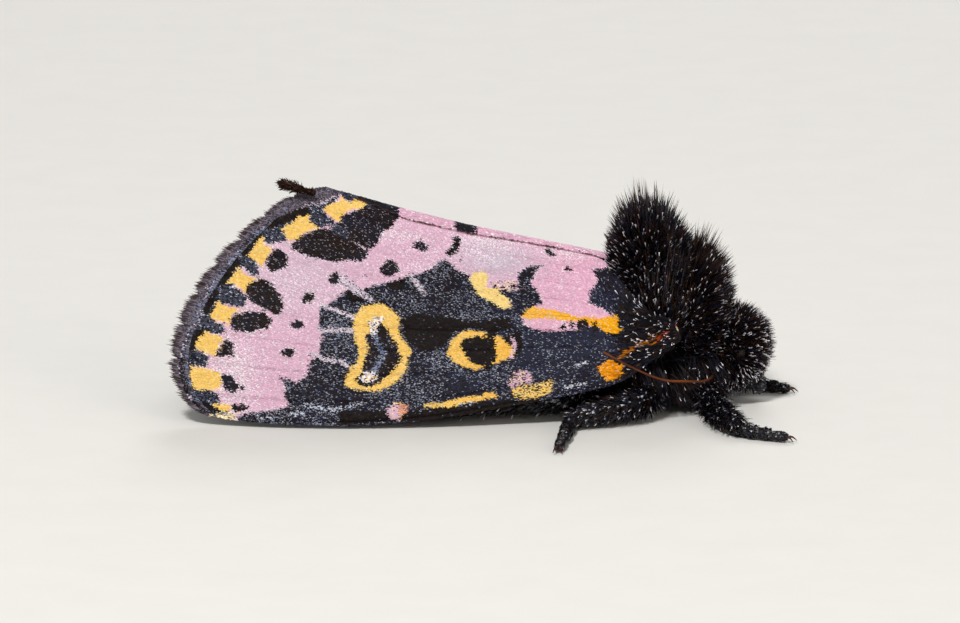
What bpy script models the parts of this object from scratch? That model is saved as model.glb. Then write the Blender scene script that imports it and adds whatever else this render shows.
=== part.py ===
# A spanish moth at rest, life size, as a still display model.
# The head points along +X, the moth's left side is +Y, and it stands on z = 0.
# The sizes below are in millimetres; the finished meshes are scaled to metres last.

import math
import random

import bmesh
import bpy
import numpy as np
from mathutils import Matrix, Vector

MILLIMETRE = 0.001
GAP = 0.3  # air between neighbouring pieces
SEED = 7

# Roof made by the folded forewings
TORNUS_X = -6.2  # rear end of the ridge
RIDGE_AT_TORNUS = 8.35  # ridge height there
RIDGE_FALL = 0.23  # ridge drop for each millimetre towards the head
ROOF_HALF_WIDTH = 5.3
ROOF_BULGE = 0.35  # how far a roof side bows out
TAIL_PINCH = 0.020  # how fast the roof narrows behind TAIL_PINCH_X
TAIL_PINCH_X = -5.0
SHOULDER = (6.4, 4.3)  # x and z where the wing base swells over the thorax
SHOULDER_SWELL = 1.1
SHOULDER_SPREAD = (2.0, 1.1)

# Wing plates, with thickness measured across the body
FOREWING_THICK = 0.62
HINDWING_THICK = 0.58
VEIN_HEIGHT = 0.16
VEIN_HALF_WIDTH = 0.011  # share of the wing's breadth
VEIN_FADE = 0.3  # share of the wing's length over which the veins rise from its base
FOREWING_ROWS = 13
HINDWING_ROWS = 9
HINDWING_INSET = FOREWING_THICK + 1.25 * GAP
FRINGE_TOOTH = 0.16
LEFT_WING_EDGE = -0.1  # y at which the left wings end; the right ones end a gap further right

# Outlines seen from the side, as x and z
COSTA = [(7.7, 3.0), (6.5, 2.25), (5.3, 1.6), (3.6, 1.22), (1.3, 0.85), (-1.5, 0.4), (-4.4, 0.17),
         (-7.2, 0.17), (-9.4, 0.28), (-10.7, 0.45)]
TERMEN = [(-10.7, 0.45), (-11.45, 1.05), (-11.85, 2.0), (-11.8, 3.1), (-11.4, 4.2), (-10.75, 5.25),
          (-9.85, 6.3), (-8.7, 7.3), (-7.5, 8.1), (-6.2, 8.55)]
DORSUM = [(7.45, 3.6), (6.7, 3.85), (5.9, 4.5), (5.2, 5.3), (4.5, 5.95), (2.5, 6.5), (0.0, 7.05),
          (-3.0, 7.75), (-6.2, 8.55)]
HIND_COSTA = [(5.1, 2.3), (3.0, 1.75), (0.0, 1.45), (-3.5, 1.4), (-6.6, 1.9)]
HIND_TERMEN = [(-6.6, 1.9), (-7.9, 3.2), (-7.9, 4.8), (-6.7, 6.3), (-5.0, 7.3)]
HIND_DORSUM = [(4.9, 3.2), (3.4, 4.3), (1.0, 5.6), (-2.0, 6.6), (-5.0, 7.3)]
FORE_VEINS = (0.035, 0.13, 0.24, 0.34, 0.44, 0.54, 0.65, 0.76, 0.88)
HIND_VEINS = (0.08, 0.26, 0.42, 0.58, 0.76)

# Body cores, each a centre and three radii
THORAX_CORE = ((5.6, 0.0, 2.8), (2.3, 2.2, 2.3))
CREST_CORE = ((6.0, 0.0, 4.75), (1.6, 1.5, 2.1))
WING_ROOT_CORE = ((6.9, 1.45, 3.2), (0.95, 1.0, 0.85))  # left side; the right one is its mirror image
COLLAR_CORE = ((8.3, 0.0, 3.2), (0.95, 1.7, 2.1))
HEAD_CORE = ((9.95, 0.0, 2.1), (0.9, 1.05, 1.25))
EYE = ((9.95, 1.0, 2.05), (0.72, 0.8, 0.8))  # left side
EYE_SEGMENTS = 16
# Planes between thorax, collar and head: x, z and lean in radians
THORAX_FRONT = (7.75, 4.0, 0.12)
COLLAR_FRONT = (9.3, 2.9, 0.4)
# Reach of the lock tips around them
THORAX_REACH = [((6.15, 0.0, 5.6), (1.85, 2.1, 3.25)), ((7.0, 0.0, 4.6), (1.75, 2.6, 3.3))]
BREAST_REACH = [((6.0, 0.0, 2.5), (2.9, 3.15, 2.4))]
WING_ROOT_REACH = ((6.9, 1.6, 3.5), (1.5, 1.6, 1.5))
COLLAR_REACH = [((8.55, 0.0, 4.2), (1.35, 2.6, 2.95))]
COLLAR_LOW_REACH = [((8.5, 0.0, 2.4), (1.35, 2.5, 2.15))]
HEAD_REACH = [((9.95, 0.0, 2.3), (1.6, 2.0, 1.75))]
BEARD_REACH = [((9.9, 0.0, 1.7), (1.1, 1.7, 1.45))]

# Abdomen: x of each ring groove and the radius between grooves
ABDOMEN_HEIGHT = 1.95
ABDOMEN_END_CORE = ((-6.35, 0.0, 1.95), (0.6, 0.62, 0.62))
ABDOMEN_END_REACH = [((-6.6, 0.0, 1.95), (1.35, 0.95, 0.95))]
ABDOMEN_RINGS = [(2.9, 1.15), (2.0, 1.5), (0.7, 1.58), (-0.7, 1.58), (-2.1, 1.5), (-3.5, 1.36),
                 (-4.8, 1.15), (-5.9, 0.85), (-6.8, 0.45)]
GROOVE_DEPTH = 0.1
SWELL_START = 0.3  # shares of a ring's length between which it swells out of the grooves
SWELL_END = 0.85
SWELL_FALL = 0.7  # share of the step to the next ring's radius that is reached there
ABDOMEN_SIDES = 16

# Legs: x, y, z and radius along each, for the right side
FORELEG_RIGHT = [(8.6, -1.0, 1.1, 0.42), (8.75, -2.2, 0.7, 0.42), (8.9, -3.4, 0.45, 0.37),
                 (9.15, -4.8, 0.48, 0.42), (9.6, -6.0, 0.4, 0.38), (10.1, -6.7, 0.27, 0.28),
                 (10.8, -7.1, 0.22, 0.27), (11.6, -7.5, 0.2, 0.26)]
FORELEG_LEFT = [(8.5, 0.9, 1.5, 0.42), (8.95, 1.9, 1.2, 0.44), (9.7, 2.1, 0.8, 0.4), (10.4, 1.75, 0.4, 0.32),
                (10.75, 1.6, 0.26, 0.27), (11.3, 1.35, 0.22, 0.27), (11.9, 1.1, 0.2, 0.26)]
MIDLEG_RIGHT = [(6.2, -1.0, 1.2, 0.45), (6.4, -2.5, 0.95, 0.45), (6.2, -3.7, 0.85, 0.44),
                (5.6, -4.3, 0.72, 0.42), (4.6, -4.75, 0.55, 0.4), (3.7, -5.15, 0.4, 0.34),
                (3.4, -5.7, 0.26, 0.27), (3.2, -7.3, 0.22, 0.27), (2.95, -9.3, 0.2, 0.26)]
HINDLEG_RIGHT = [(4.6, -0.9, 1.1, 0.42), (3.9, -2.2, 0.8, 0.42), (3.0, -3.0, 0.75, 0.4),
                 (1.2, -3.3, 0.7, 0.36), (-0.8, -3.3, 0.42, 0.34), (-1.5, -3.3, 0.26, 0.27),
                 (-3.4, -3.35, 0.22, 0.27), (-5.2, -3.4, 0.2, 0.26)]
LEG_STEPS = 3  # rings between two points of a leg
TARSUS_BEAD = 0.1  # how much the foot's segments swell, as a share of its radius
CLAW = (0.3, 0.24)  # length and width
CLAW_SPREAD = 0.5
SPUR = (0.75, 0.34)
SPUR_SPREAD = (0.15, 0.62)  # how far a spur's root and tip stand out sideways
TIP_DROP = Vector((0.0, 0.0, -0.1))  # how far the tips of claws and spurs hang down
# Leg points, counted from the foot, that carry a pair of spurs
SPUR_POINTS = {"fore": (), "midl": (-4,), "hind": (-4, -5)}

# Right antenna from the crown, round behind the eye and back over the wing base
ANTENNA_RIGHT = [(9.5, -0.9, 3.1), (9.25, -1.6, 2.85), (9.15, -2.1, 2.2), (9.0, -2.6, 1.5),
                 (8.6, -3.05, 1.2), (7.9, -3.65, 1.3), (6.9, -4.15, 1.72), (5.7, -4.5, 2.3), (4.7, -4.7, 2.9)]
ANTENNA_RADIUS = 0.26
ANTENNA_TIP_RADIUS = 0.12
ANTENNA_TAPER = 0.7  # share of the antenna's length where it starts to grow thinner
PALP_RIGHT = [(10.15, -0.45, 1.2, 0.3), (10.6, -0.48, 0.75, 0.3), (10.85, -0.48, 0.55, 0.2)]

# Twisted tuft of fringe that stands out at the right wing's hind corner: root, tip and width
TORNUS_TUFT = [((-6.3, -0.62, 7.75), (-7.6, -0.7, 8.75), 0.5),
               ((-6.5, -0.66, 7.6), (-7.7, -0.75, 8.3), 0.55)]

# Locks of the shaggy coat: how many directions round each core, and which way they lie
CREST_LOCKS = 74
CREST_FRONT_LOCKS = 44
BREAST_LOCKS = 44
WING_ROOT_LOCKS = 18
COLLAR_LOCKS = 70
COLLAR_LOW_LOCKS = 40
HEAD_LOCKS = 49
BEARD_LOCKS = 24
ABDOMEN_END_LOCKS = 20
UPWARD = Vector((-0.2, 0.0, 1.0))
DOWNWARD = Vector((-0.5, 0.0, -0.6))
BACKWARD = Vector((-1.0, 0.0, 0.0))
FORWARD = Vector((0.5, 0.0, 0.8))
AHEAD = Vector((1.0, 0.0, 0.1))
LOCK_WIDTH = 0.86
LOCK_THICK = 0.54
LOCK_SIZES = (1.0, 1.1, 0.78, 0.12)  # share of the lock's width at each ring from root to tip
LOCK_ROOT_DEPTH = 0.45
LOCK_BEND = 0.62  # how far a lock runs straight out before it turns into the lie
SHORTEST_LOCK = 0.42
LIE_SHARE = 0.75  # how much the lie turns a lock's tip away from straight out
LENGTH_RANGE = (0.86, 1.03)
WIDTH_RANGE = (0.8, 1.2)

BLACK = (0.012, 0.012, 0.016, 1.0)
CHARCOAL = (0.03, 0.03, 0.04, 1.0)
PINK = (0.72, 0.42, 0.55, 1.0)
AMBER = (0.45, 0.12, 0.02, 1.0)
EYE_BROWN = (0.04, 0.02, 0.015, 1.0)


def clear_scene():
    for old in list(bpy.data.objects):
        bpy.data.objects.remove(old, do_unlink=True)


def make_material(name, colour, roughness, metallic=0.0):
    material = bpy.data.materials.new(name)
    material.use_nodes = True
    shader = material.node_tree.nodes["Principled BSDF"]
    shader.inputs["Base Color"].default_value = colour
    shader.inputs["Roughness"].default_value = roughness
    shader.inputs["Metallic"].default_value = metallic
    return material


def make_object(name, bm, collection=None):
    """A mesh object from a bmesh, which is used up."""
    mesh = bpy.data.meshes.new(name)
    bm.to_mesh(mesh)
    bm.free()
    obj = bpy.data.objects.new(name, mesh)
    (collection or bpy.context.scene.collection).objects.link(obj)
    return obj


def make_collection(name):
    collection = bpy.data.collections.new(name)
    bpy.context.scene.collection.children.link(collection)
    return collection


def ellipsoid(name, core, grow=0.0, segments=18, rings=10, collection=None):
    centre, radii = core
    bm = bmesh.new()
    bmesh.ops.create_uvsphere(bm, u_segments=segments, v_segments=rings, radius=1.0)
    bmesh.ops.scale(bm, vec=Vector(radii) + Vector((grow, grow, grow)), verts=bm.verts)
    bmesh.ops.translate(bm, vec=Vector(centre), verts=bm.verts)
    return make_object(name, bm, collection=collection)


def smooth_path(points, steps):
    """Points along a Catmull-Rom curve through the given ones, with steps between each pair."""
    given = [Vector(p) for p in points]
    padded = [2 * given[0] - given[1], *given, 2 * given[-1] - given[-2]]
    path = []
    for i in range(1, len(padded) - 2):
        before, start, end, after = padded[i - 1 : i + 3]
        for step in range(steps):
            t = step / steps
            path.append(0.5 * (2 * start + (end - before) * t
                               + (2 * before - 5 * start + 4 * end - after) * t * t
                               + (3 * start - before - 3 * end + after) * t ** 3))
    path.append(given[-1])
    return path


def tube(name, path, radii, sides_level=2, collection=None):
    """A round rod through the path with its own radius at each point, as a closed mesh."""
    curve = bpy.data.curves.new(name, "CURVE")
    curve.dimensions = "3D"
    curve.bevel_depth = 1.0
    curve.bevel_resolution = sides_level
    curve.use_fill_caps = True
    spline = curve.splines.new("POLY")
    spline.points.add(len(path) - 1)
    for point, place, radius in zip(spline.points, path, radii):
        point.co = (*place, 1.0)
        point.radius = radius
    rod = bpy.data.objects.new(name + "_line", curve)
    bpy.context.scene.collection.objects.link(rod)
    bpy.context.view_layer.update()
    mesh = bpy.data.meshes.new_from_object(rod.evaluated_get(bpy.context.evaluated_depsgraph_get()))
    bpy.data.objects.remove(rod)
    bm = bmesh.new()
    bm.from_mesh(mesh)
    bpy.data.meshes.remove(mesh)
    bmesh.ops.remove_doubles(bm, verts=bm.verts, dist=1e-4)
    bmesh.ops.recalc_face_normals(bm, faces=bm.faces)
    return make_object(name, bm, collection=collection)


def apply_boolean(obj, operation, others, solver="MANIFOLD"):
    """Joins or cuts obj with every object of the collection others, then removes them."""
    modifier = obj.modifiers.new("shape", "BOOLEAN")
    modifier.operation = operation
    modifier.operand_type = "COLLECTION"
    modifier.collection = others
    modifier.solver = solver
    bpy.context.view_layer.update()
    mesh = bpy.data.meshes.new_from_object(obj.evaluated_get(bpy.context.evaluated_depsgraph_get()))
    obj.modifiers.clear()
    old = obj.data
    obj.data = mesh
    bpy.data.meshes.remove(old)
    for other in list(others.objects):
        bpy.data.objects.remove(other)
    bpy.data.collections.remove(others)


def surface_volume(faces):
    total = 0.0
    for face in faces:
        corners = [v.co for v in face.verts]
        for i in range(1, len(corners) - 1):
            total += corners[0].dot(corners[i].cross(corners[i + 1])) / 6.0
    return total


def bad_edges(bm):
    return sum(1 for edge in bm.edges if len(edge.link_faces) != 2)


def drop_scraps(bm):
    """Drops loose scraps and sealed hollows, so that one surface is left."""
    unseen = set(bm.faces)
    groups = []
    while unseen:
        stack = [unseen.pop()]
        group = []
        while stack:
            face = stack.pop()
            group.append(face)
            for edge in face.edges:
                for linked in edge.link_faces:
                    if linked in unseen:
                        unseen.remove(linked)
                        stack.append(linked)
        groups.append(group)
    groups.sort(key=lambda group: abs(surface_volume(group)))
    for group in groups[:-1]:
        bmesh.ops.delete(bm, geom=group, context="FACES")


def keep_largest(obj):
    """Leaves the largest closed surface of obj, as triangles."""
    bm = bmesh.new()
    bm.from_mesh(obj.data)
    drop_scraps(bm)
    bmesh.ops.triangulate(bm, faces=bm.faces)
    # slivers are merged away as long as the surface stays closed
    for distance in (0.02, 0.01, 0.004, 0.001, 0.0003):
        tidied = bm.copy()
        bmesh.ops.dissolve_degenerate(tidied, edges=tidied.edges, dist=distance)
        bmesh.ops.triangulate(tidied, faces=tidied.faces)
        drop_scraps(tidied)
        if bad_edges(tidied) == 0:
            bm.free()
            bm = tidied
            break
        tidied.free()
    bm.to_mesh(obj.data)
    bm.free()


def roof_distance(x, z):
    """How far the folded wing's outer face lies from the body's middle plane."""
    ridge = RIDGE_AT_TORNUS - RIDGE_FALL * (x - TORNUS_X)
    drop = (ridge - z) / ridge
    spread = drop + ROOF_BULGE * drop * (1.0 - drop)
    width = ROOF_HALF_WIDTH - TAIL_PINCH * min(0.0, x - TAIL_PINCH_X) ** 2
    swell = SHOULDER_SWELL * math.exp(-(((x - SHOULDER[0]) / SHOULDER_SPREAD[0]) ** 2)
                                      - ((z - SHOULDER[1]) / SHOULDER_SPREAD[1]) ** 2)
    return width * spread + swell


def boundary(points, share):
    """The place at that share of the length of a smooth line through the outline points."""
    path = smooth_path(points, 8)
    lengths = [0.0]
    for start, end in zip(path, path[1:]):
        lengths.append(lengths[-1] + (end - start).length)
    wanted = share * lengths[-1]
    return Vector((float(np.interp(wanted, lengths, [p.x for p in path])),
                   float(np.interp(wanted, lengths, [p.y for p in path]))))


def across_shares(veins, half_width):
    """Grid lines across a wing: its two edges, and three lines for each vein."""
    shares = {0.0, 1.0}
    for vein in veins:
        shares |= {vein - half_width, vein, vein + half_width}
    return sorted(shares)


def cut_off(bm, place, normal):
    """Takes away what lies behind a plane and closes the cut."""
    cut = bmesh.ops.bisect_plane(bm, geom=bm.verts[:] + bm.edges[:] + bm.faces[:], dist=1e-5,
                                 plane_co=place, plane_no=normal, clear_inner=True)
    open_edges = [g for g in cut["geom_cut"] if isinstance(g, bmesh.types.BMEdge)]
    bmesh.ops.holes_fill(bm, edges=open_edges, sides=0)


def wing(name, side, outlines, veins, inset, thick, rows, tooth=0.0, grow=0.0):
    """A folded wing plate. Its veins stand up as ridges in its outer face."""
    costa, termen, dorsum = outlines
    shares = across_shares(veins, VEIN_HALF_WIDTH)
    root_low, root_high = Vector(costa[0]), Vector(dorsum[0])
    apex, tornus = Vector(termen[0]), Vector(termen[-1])
    bm = bmesh.new()
    bmesh.ops.create_grid(bm, x_segments=len(shares) - 1, y_segments=rows, size=1.0)
    bm.verts.ensure_lookup_table()
    columns = len(shares)
    places = {}
    raised = {}
    for index, vert in enumerate(bm.verts):
        column, row = index % columns, index // columns
        across, along = shares[column], row / rows
        low, high = boundary(costa, along), boundary(dorsum, along)
        outer = boundary(termen, across)
        root = root_low.lerp(root_high, across)
        flat = (low.lerp(high, across) + root.lerp(outer, along)
                - root_low.lerp(root_high, across).lerp(apex.lerp(tornus, across), along))
        if row == rows and column % 2 and tooth:
            away = (flat - root).normalized()
            flat += away * tooth
        places[vert] = flat
        fade = min(1.0, along / VEIN_FADE) if row < rows else 0.0
        raised[vert] = VEIN_HEIGHT * fade if across in veins else 0.0
    bmesh.ops.triangulate(bm, faces=bm.faces)
    made = bmesh.ops.extrude_face_region(bm, geom=bm.faces[:], use_keep_orig=True)
    inner = [g for g in made["geom"] if isinstance(g, bmesh.types.BMVert)]
    by_old_place = {(round(v.co.x, 5), round(v.co.y, 5)): v for v in places}
    for vert in inner:
        flat = places[by_old_place[(round(vert.co.x, 5), round(vert.co.y, 5))]]
        distance = roof_distance(flat.x, flat.y) - inset - thick - grow
        vert.co = (flat.x, side * distance, flat.y)
    for vert, flat in places.items():
        distance = roof_distance(flat.x, flat.y) - inset + raised[vert] + grow
        vert.co = (flat.x, side * distance, flat.y)
    # the left wing of a pair laps over the middle plane and the right one ends a gap short of it
    middle = LEFT_WING_EDGE if side > 0 else LEFT_WING_EDGE - GAP
    cut_off(bm, (0.0, middle - side * grow, 0.0), (0.0, side, 0.0))
    bmesh.ops.remove_doubles(bm, verts=bm.verts, dist=1e-4)
    bmesh.ops.recalc_face_normals(bm, faces=bm.faces)
    return make_object(name, bm)


def forewing(name, side, grow=0.0):
    outlines = COSTA, TERMEN, DORSUM
    return wing(name, side, outlines, FORE_VEINS, 0.0, FOREWING_THICK, FOREWING_ROWS, FRINGE_TOOTH, grow)


def hindwing(name, side):
    outlines = HIND_COSTA, HIND_TERMEN, HIND_DORSUM
    return wing(name, side, outlines, HIND_VEINS, HINDWING_INSET, HINDWING_THICK, HINDWING_ROWS)


def flatten_below_floor(obj):
    """Cuts what lies under z = 0 off, which leaves small flats to stand on."""
    bm = bmesh.new()
    bm.from_mesh(obj.data)
    cut_off(bm, (0.0, 0.0, 0.0), (0.0, 0.0, 1.0))
    bmesh.ops.recalc_face_normals(bm, faces=bm.faces)
    bm.to_mesh(obj.data)
    bm.free()


def mirrored(points):
    return [(p[0], -p[1], *p[2:]) for p in points]


def other_side(shape):
    (x, y, z), radii = shape
    return (x, -y, z), radii


def leg_lines(points, grow=0.0):
    """The smooth path and radii of a leg, whose foot has a row of small beads."""
    rounds = smooth_path_4(points, LEG_STEPS)
    path = [Vector(p[:3]) for p in rounds]
    foot_start = len(path) - 2 * LEG_STEPS
    radii = []
    for i, place in enumerate(rounds):
        bead = TARSUS_BEAD * (1 if i % 2 else -1) if i >= foot_start else 0.0
        radii.append(place[3] * (1.0 + bead) + grow)
    return path, radii


def smooth_path_4(points, steps):
    """As smooth_path, for points that carry a radius as their fourth number."""
    places = smooth_path([p[:3] for p in points], steps)
    radii = []
    for start, end in zip(points, points[1:]):
        for step in range(steps):
            radii.append(start[3] + (end[3] - start[3]) * step / steps)
    radii.append(points[-1][3])
    return [(*place, radius) for place, radius in zip(places, radii)]


def leg(name, points, grow=0.0, collection=None):
    path, radii = leg_lines(points, grow)
    return tube(name, path, radii, collection=collection)


def dressed_leg(name, points, spur_places):
    """A leg with two claws, and a pair of spurs at each of the spur places along it."""
    limb = leg(name, points)
    extras = make_collection(name + "_extras")
    path = leg_lines(points)[0]
    ahead = (path[-1] - path[-2]).normalized()
    sideways = ahead.cross(Vector((0.0, 0.0, 1.0))).normalized()
    length, width = CLAW
    for way in (-1, 1):
        tip = path[-1] + ahead * length + sideways * (way * CLAW_SPREAD * length) + TIP_DROP
        lock(extras, path[-1] + sideways * (way * 0.1), tip, ahead, width, width, 0.2)
        for place in spur_places:
            i = place * LEG_STEPS
            onward = (path[i + 1] - path[i - 1]).normalized()
            across = onward.cross(Vector((0.0, 0.0, 1.0))).normalized()
            root = path[i] + across * (way * SPUR_SPREAD[0])
            tip = path[i] + onward * SPUR[0] + across * (way * SPUR_SPREAD[1]) + TIP_DROP
            lock(extras, root, tip, onward, SPUR[1], SPUR[1], 0.1)
    apply_boolean(limb, "UNION", extras)
    flatten_below_floor(limb)
    return limb


def antenna_lines(points, grow=0.0):
    path = smooth_path(points, 4)
    last = len(path) - 1
    radii = []
    for i in range(last + 1):
        taper = max(0.0, i / last - ANTENNA_TAPER) / (1.0 - ANTENNA_TAPER)
        radii.append(ANTENNA_RADIUS - (ANTENNA_RADIUS - ANTENNA_TIP_RADIUS) * taper + grow)
    return path, radii


def surface_point(core, direction):
    """Where a ray from the core's centre leaves it, and the outward normal there."""
    centre, radii = Vector(core[0]), core[1]
    scale = 1.0 / math.sqrt(sum((d / r) ** 2 for d, r in zip(direction, radii)))
    offset = direction * scale
    normal = Vector([o / (r * r) for o, r in zip(offset, radii)]).normalized()
    return centre + offset, normal


def lock(collection, root, tip, outward, width, thick, root_depth=LOCK_ROOT_DEPTH):
    """A flat, tapered lock that leaves the root along outward and bends over to its tip."""
    start = root - outward * root_depth
    length = (tip - root).length
    bend = root + outward * (LOCK_BEND * length)
    flat_side = outward.cross(tip - root)
    if flat_side.length < 0.05 * length:
        flat_side = outward.cross(Vector((0.0, 1.0, 0.0)))
    flat_side.normalize()
    bm = bmesh.new()
    bmesh.ops.create_circle(bm, cap_ends=True, segments=4, radius=0.5)
    bm.faces.ensure_lookup_table()
    face = bm.faces[0]
    corners = [loop.vert for loop in face.loops]
    shape = [vert.co.copy() for vert in corners]
    for step, size in enumerate(LOCK_SIZES):
        share = step / (len(LOCK_SIZES) - 1)
        place = start.lerp(bend, share).lerp(bend.lerp(tip, share), share)
        along = (bend - start).lerp(tip - bend, share).normalized()
        across = (flat_side - along * flat_side.dot(along)).normalized()
        if step:
            made = bmesh.ops.extrude_face_region(bm, geom=[face])
            if step > 1:
                bmesh.ops.delete(bm, geom=[face], context="FACES_ONLY")
            face = [g for g in made["geom"] if isinstance(g, bmesh.types.BMFace)][0]
            corners = [loop.vert for loop in face.loops]
        for vert, corner in zip(corners, shape):
            vert.co = place + (across * (corner.x * width) + along.cross(across) * (corner.y * thick)) * size
    bmesh.ops.recalc_face_normals(bm, faces=bm.faces)
    return make_object("lock", bm, collection=collection)


def limit_block(limit, collection):
    """A big block that takes away what lies beyond a slanted plane, less half a gap."""
    (x, z, lean), way = limit
    bm = bmesh.new()
    bmesh.ops.create_cube(bm, size=20.0)
    bmesh.ops.translate(bm, vec=(way * (10.0 - GAP / 2), 0.0, 0.0), verts=bm.verts)
    bmesh.ops.rotate(bm, matrix=Matrix.Rotation(lean, 3, "Y"), verts=bm.verts)
    bmesh.ops.translate(bm, vec=(x, 0.0, z), verts=bm.verts)
    return make_object("limit", bm, collection=collection)


def even_directions(count):
    """Directions spread evenly over a sphere."""
    golden = math.pi * (3.0 - math.sqrt(5.0))
    for i in range(count):
        height = 1.0 - 2.0 * (i + 0.5) / count
        radius = math.sqrt(1.0 - height * height)
        yield Vector((radius * math.cos(golden * i), radius * math.sin(golden * i), height))


def reach_along(start, heading, reach):
    """How far a ray from start runs before it leaves the last of the reach ellipsoids."""
    farthest = 0.0
    for centre, radii in reach:
        offset = start - Vector(centre)
        a = sum((h / r) ** 2 for h, r in zip(heading, radii))
        b = 2 * sum(h * o / (r * r) for h, o, r in zip(heading, offset, radii))
        c = sum((o / r) ** 2 for o, r in zip(offset, radii)) - 1.0
        inside = b * b - 4 * a * c
        if inside > 0:
            farthest = max(farthest, (-b + math.sqrt(inside)) / (2 * a))
    return farthest


def grow_locks(collection, core, reach, count, wanted, lie, chance):
    """Locks from a core out to the ellipsoids of reach, where wanted says that they grow."""
    for direction in even_directions(count):
        if not wanted(direction):
            continue
        root, normal = surface_point(core, direction)
        heading = (normal + LIE_SHARE * lie).normalized()
        distance = reach_along(root, heading, reach) * chance.uniform(*LENGTH_RANGE)
        if distance > SHORTEST_LOCK:
            tip = root + heading * distance
            lock(collection, root, tip, normal, LOCK_WIDTH * chance.uniform(*WIDTH_RANGE), LOCK_THICK)


def paint(obj, material):
    obj.data.materials.clear()
    obj.data.materials.append(material)
    obj.data.polygons.foreach_set("use_smooth", [False] * len(obj.data.polygons))


def main():
    clear_scene()
    chance = random.Random(SEED)
    black = make_material("black_scales", BLACK, 0.6)
    charcoal = make_material("charcoal_scales", CHARCOAL, 0.65)
    pink = make_material("pink_scales", PINK, 0.55)
    amber = make_material("amber_cuticle", AMBER, 0.4)
    eye_brown = make_material("eye_facets", EYE_BROWN, 0.25)
    nodes = []

    def add(obj, material):
        paint(obj, material)
        nodes.append(obj)

    sides = (("right", -1), ("left", 1))
    legs = {
        "foreleg_right": FORELEG_RIGHT, "foreleg_left": FORELEG_LEFT,
        "midleg_right": MIDLEG_RIGHT, "midleg_left": mirrored(MIDLEG_RIGHT),
        "hindleg_right": HINDLEG_RIGHT, "hindleg_left": mirrored(HINDLEG_RIGHT),
    }
    antennae = {"right": ANTENNA_RIGHT, "left": mirrored(ANTENNA_RIGHT)}
    palps = {"right": PALP_RIGHT, "left": mirrored(PALP_RIGHT)}

    for word, side in sides:
        plate = forewing("forewing_" + word, side)
        if side < 0:
            tuft = make_collection("tornus_tuft")
            for root, tip, width in TORNUS_TUFT:
                onward = (Vector(tip) - Vector(root)).normalized()
                lock(tuft, Vector(root), Vector(tip), onward, width, LOCK_THICK)
            apply_boolean(plate, "UNION", tuft)
            keep_largest(plate)
        add(plate, pink)
        plate = hindwing("hindwing_" + word, side)
        near = make_collection("near_" + word)
        ellipsoid("near_thorax", THORAX_CORE, GAP, collection=near)
        apply_boolean(plate, "DIFFERENCE", near)
        keep_largest(plate)
        add(plate, charcoal)
    for name, points in legs.items():
        limb = dressed_leg(name, points, [len(points) + place for place in SPUR_POINTS[name[:4]]])
        near = make_collection("near_" + name)
        core = COLLAR_CORE if name.startswith("fore") else THORAX_CORE
        ellipsoid("near_core", core, GAP, collection=near)
        apply_boolean(limb, "DIFFERENCE", near)
        keep_largest(limb)
        add(limb, black)
    for word, side in sides:
        feeler = tube("antenna_" + word, *antenna_lines(antennae[word]), sides_level=1)
        near = make_collection("near_antenna")
        ellipsoid("near_head", HEAD_CORE, GAP, collection=near)
        apply_boolean(feeler, "DIFFERENCE", near)
        keep_largest(feeler)
        add(feeler, amber)
        centre, radii = EYE
        middle = (centre[0], side * centre[1], centre[2])
        ball = ellipsoid("eye_" + word, (middle, radii), segments=EYE_SEGMENTS)
        near = make_collection("near_eye")
        ellipsoid("near_head", HEAD_CORE, GAP, collection=near)
        apply_boolean(ball, "DIFFERENCE", near)
        keep_largest(ball)
        add(ball, eye_brown)
        feeler = leg("palp_" + word, palps[word])
        near = make_collection("near_palp")
        ellipsoid("near_head", HEAD_CORE, GAP, collection=near)
        apply_boolean(feeler, "DIFFERENCE", near)
        keep_largest(feeler)
        add(feeler, black)

    bm = bmesh.new()
    profile = [Vector((ABDOMEN_RINGS[0][0] + 0.5, 0.0, 0.0))]
    for (x, radius), (next_x, next_radius) in zip(ABDOMEN_RINGS, ABDOMEN_RINGS[1:]):
        profile.append(Vector((x, 0.0, radius - GROOVE_DEPTH)))
        profile.append(Vector((x + SWELL_START * (next_x - x), 0.0, radius)))
        fallen = radius + SWELL_FALL * (next_radius - radius)
        profile.append(Vector((x + SWELL_END * (next_x - x), 0.0, fallen)))
    profile.append(Vector((ABDOMEN_RINGS[-1][0], 0.0, ABDOMEN_RINGS[-1][1])))
    profile.append(Vector((ABDOMEN_RINGS[-1][0] - 0.25, 0.0, 0.0)))
    verts = [bm.verts.new(p) for p in profile]
    edges = [bm.edges.new(pair) for pair in zip(verts, verts[1:])]
    bmesh.ops.spin(bm, geom=verts + edges, cent=(0, 0, 0), axis=(1, 0, 0), angle=math.tau,
                   steps=ABDOMEN_SIDES, use_merge=True)
    bmesh.ops.remove_doubles(bm, verts=bm.verts, dist=1e-4)
    bmesh.ops.translate(bm, vec=(0, 0, ABDOMEN_HEIGHT), verts=bm.verts)
    bmesh.ops.recalc_face_normals(bm, faces=bm.faces)
    belly = make_object("abdomen", bm)
    near = make_collection("near_abdomen")
    ellipsoid("near_thorax", THORAX_CORE, GAP, collection=near)
    apply_boolean(belly, "DIFFERENCE", near)
    tuft = make_collection("abdomen_tuft")
    grow_locks(tuft, ABDOMEN_END_CORE, ABDOMEN_END_REACH, ABDOMEN_END_LOCKS,
               lambda d: d.x < -0.25, BACKWARD, chance)
    apply_boolean(belly, "UNION", tuft)
    keep_largest(belly)
    add(belly, charcoal)

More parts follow.
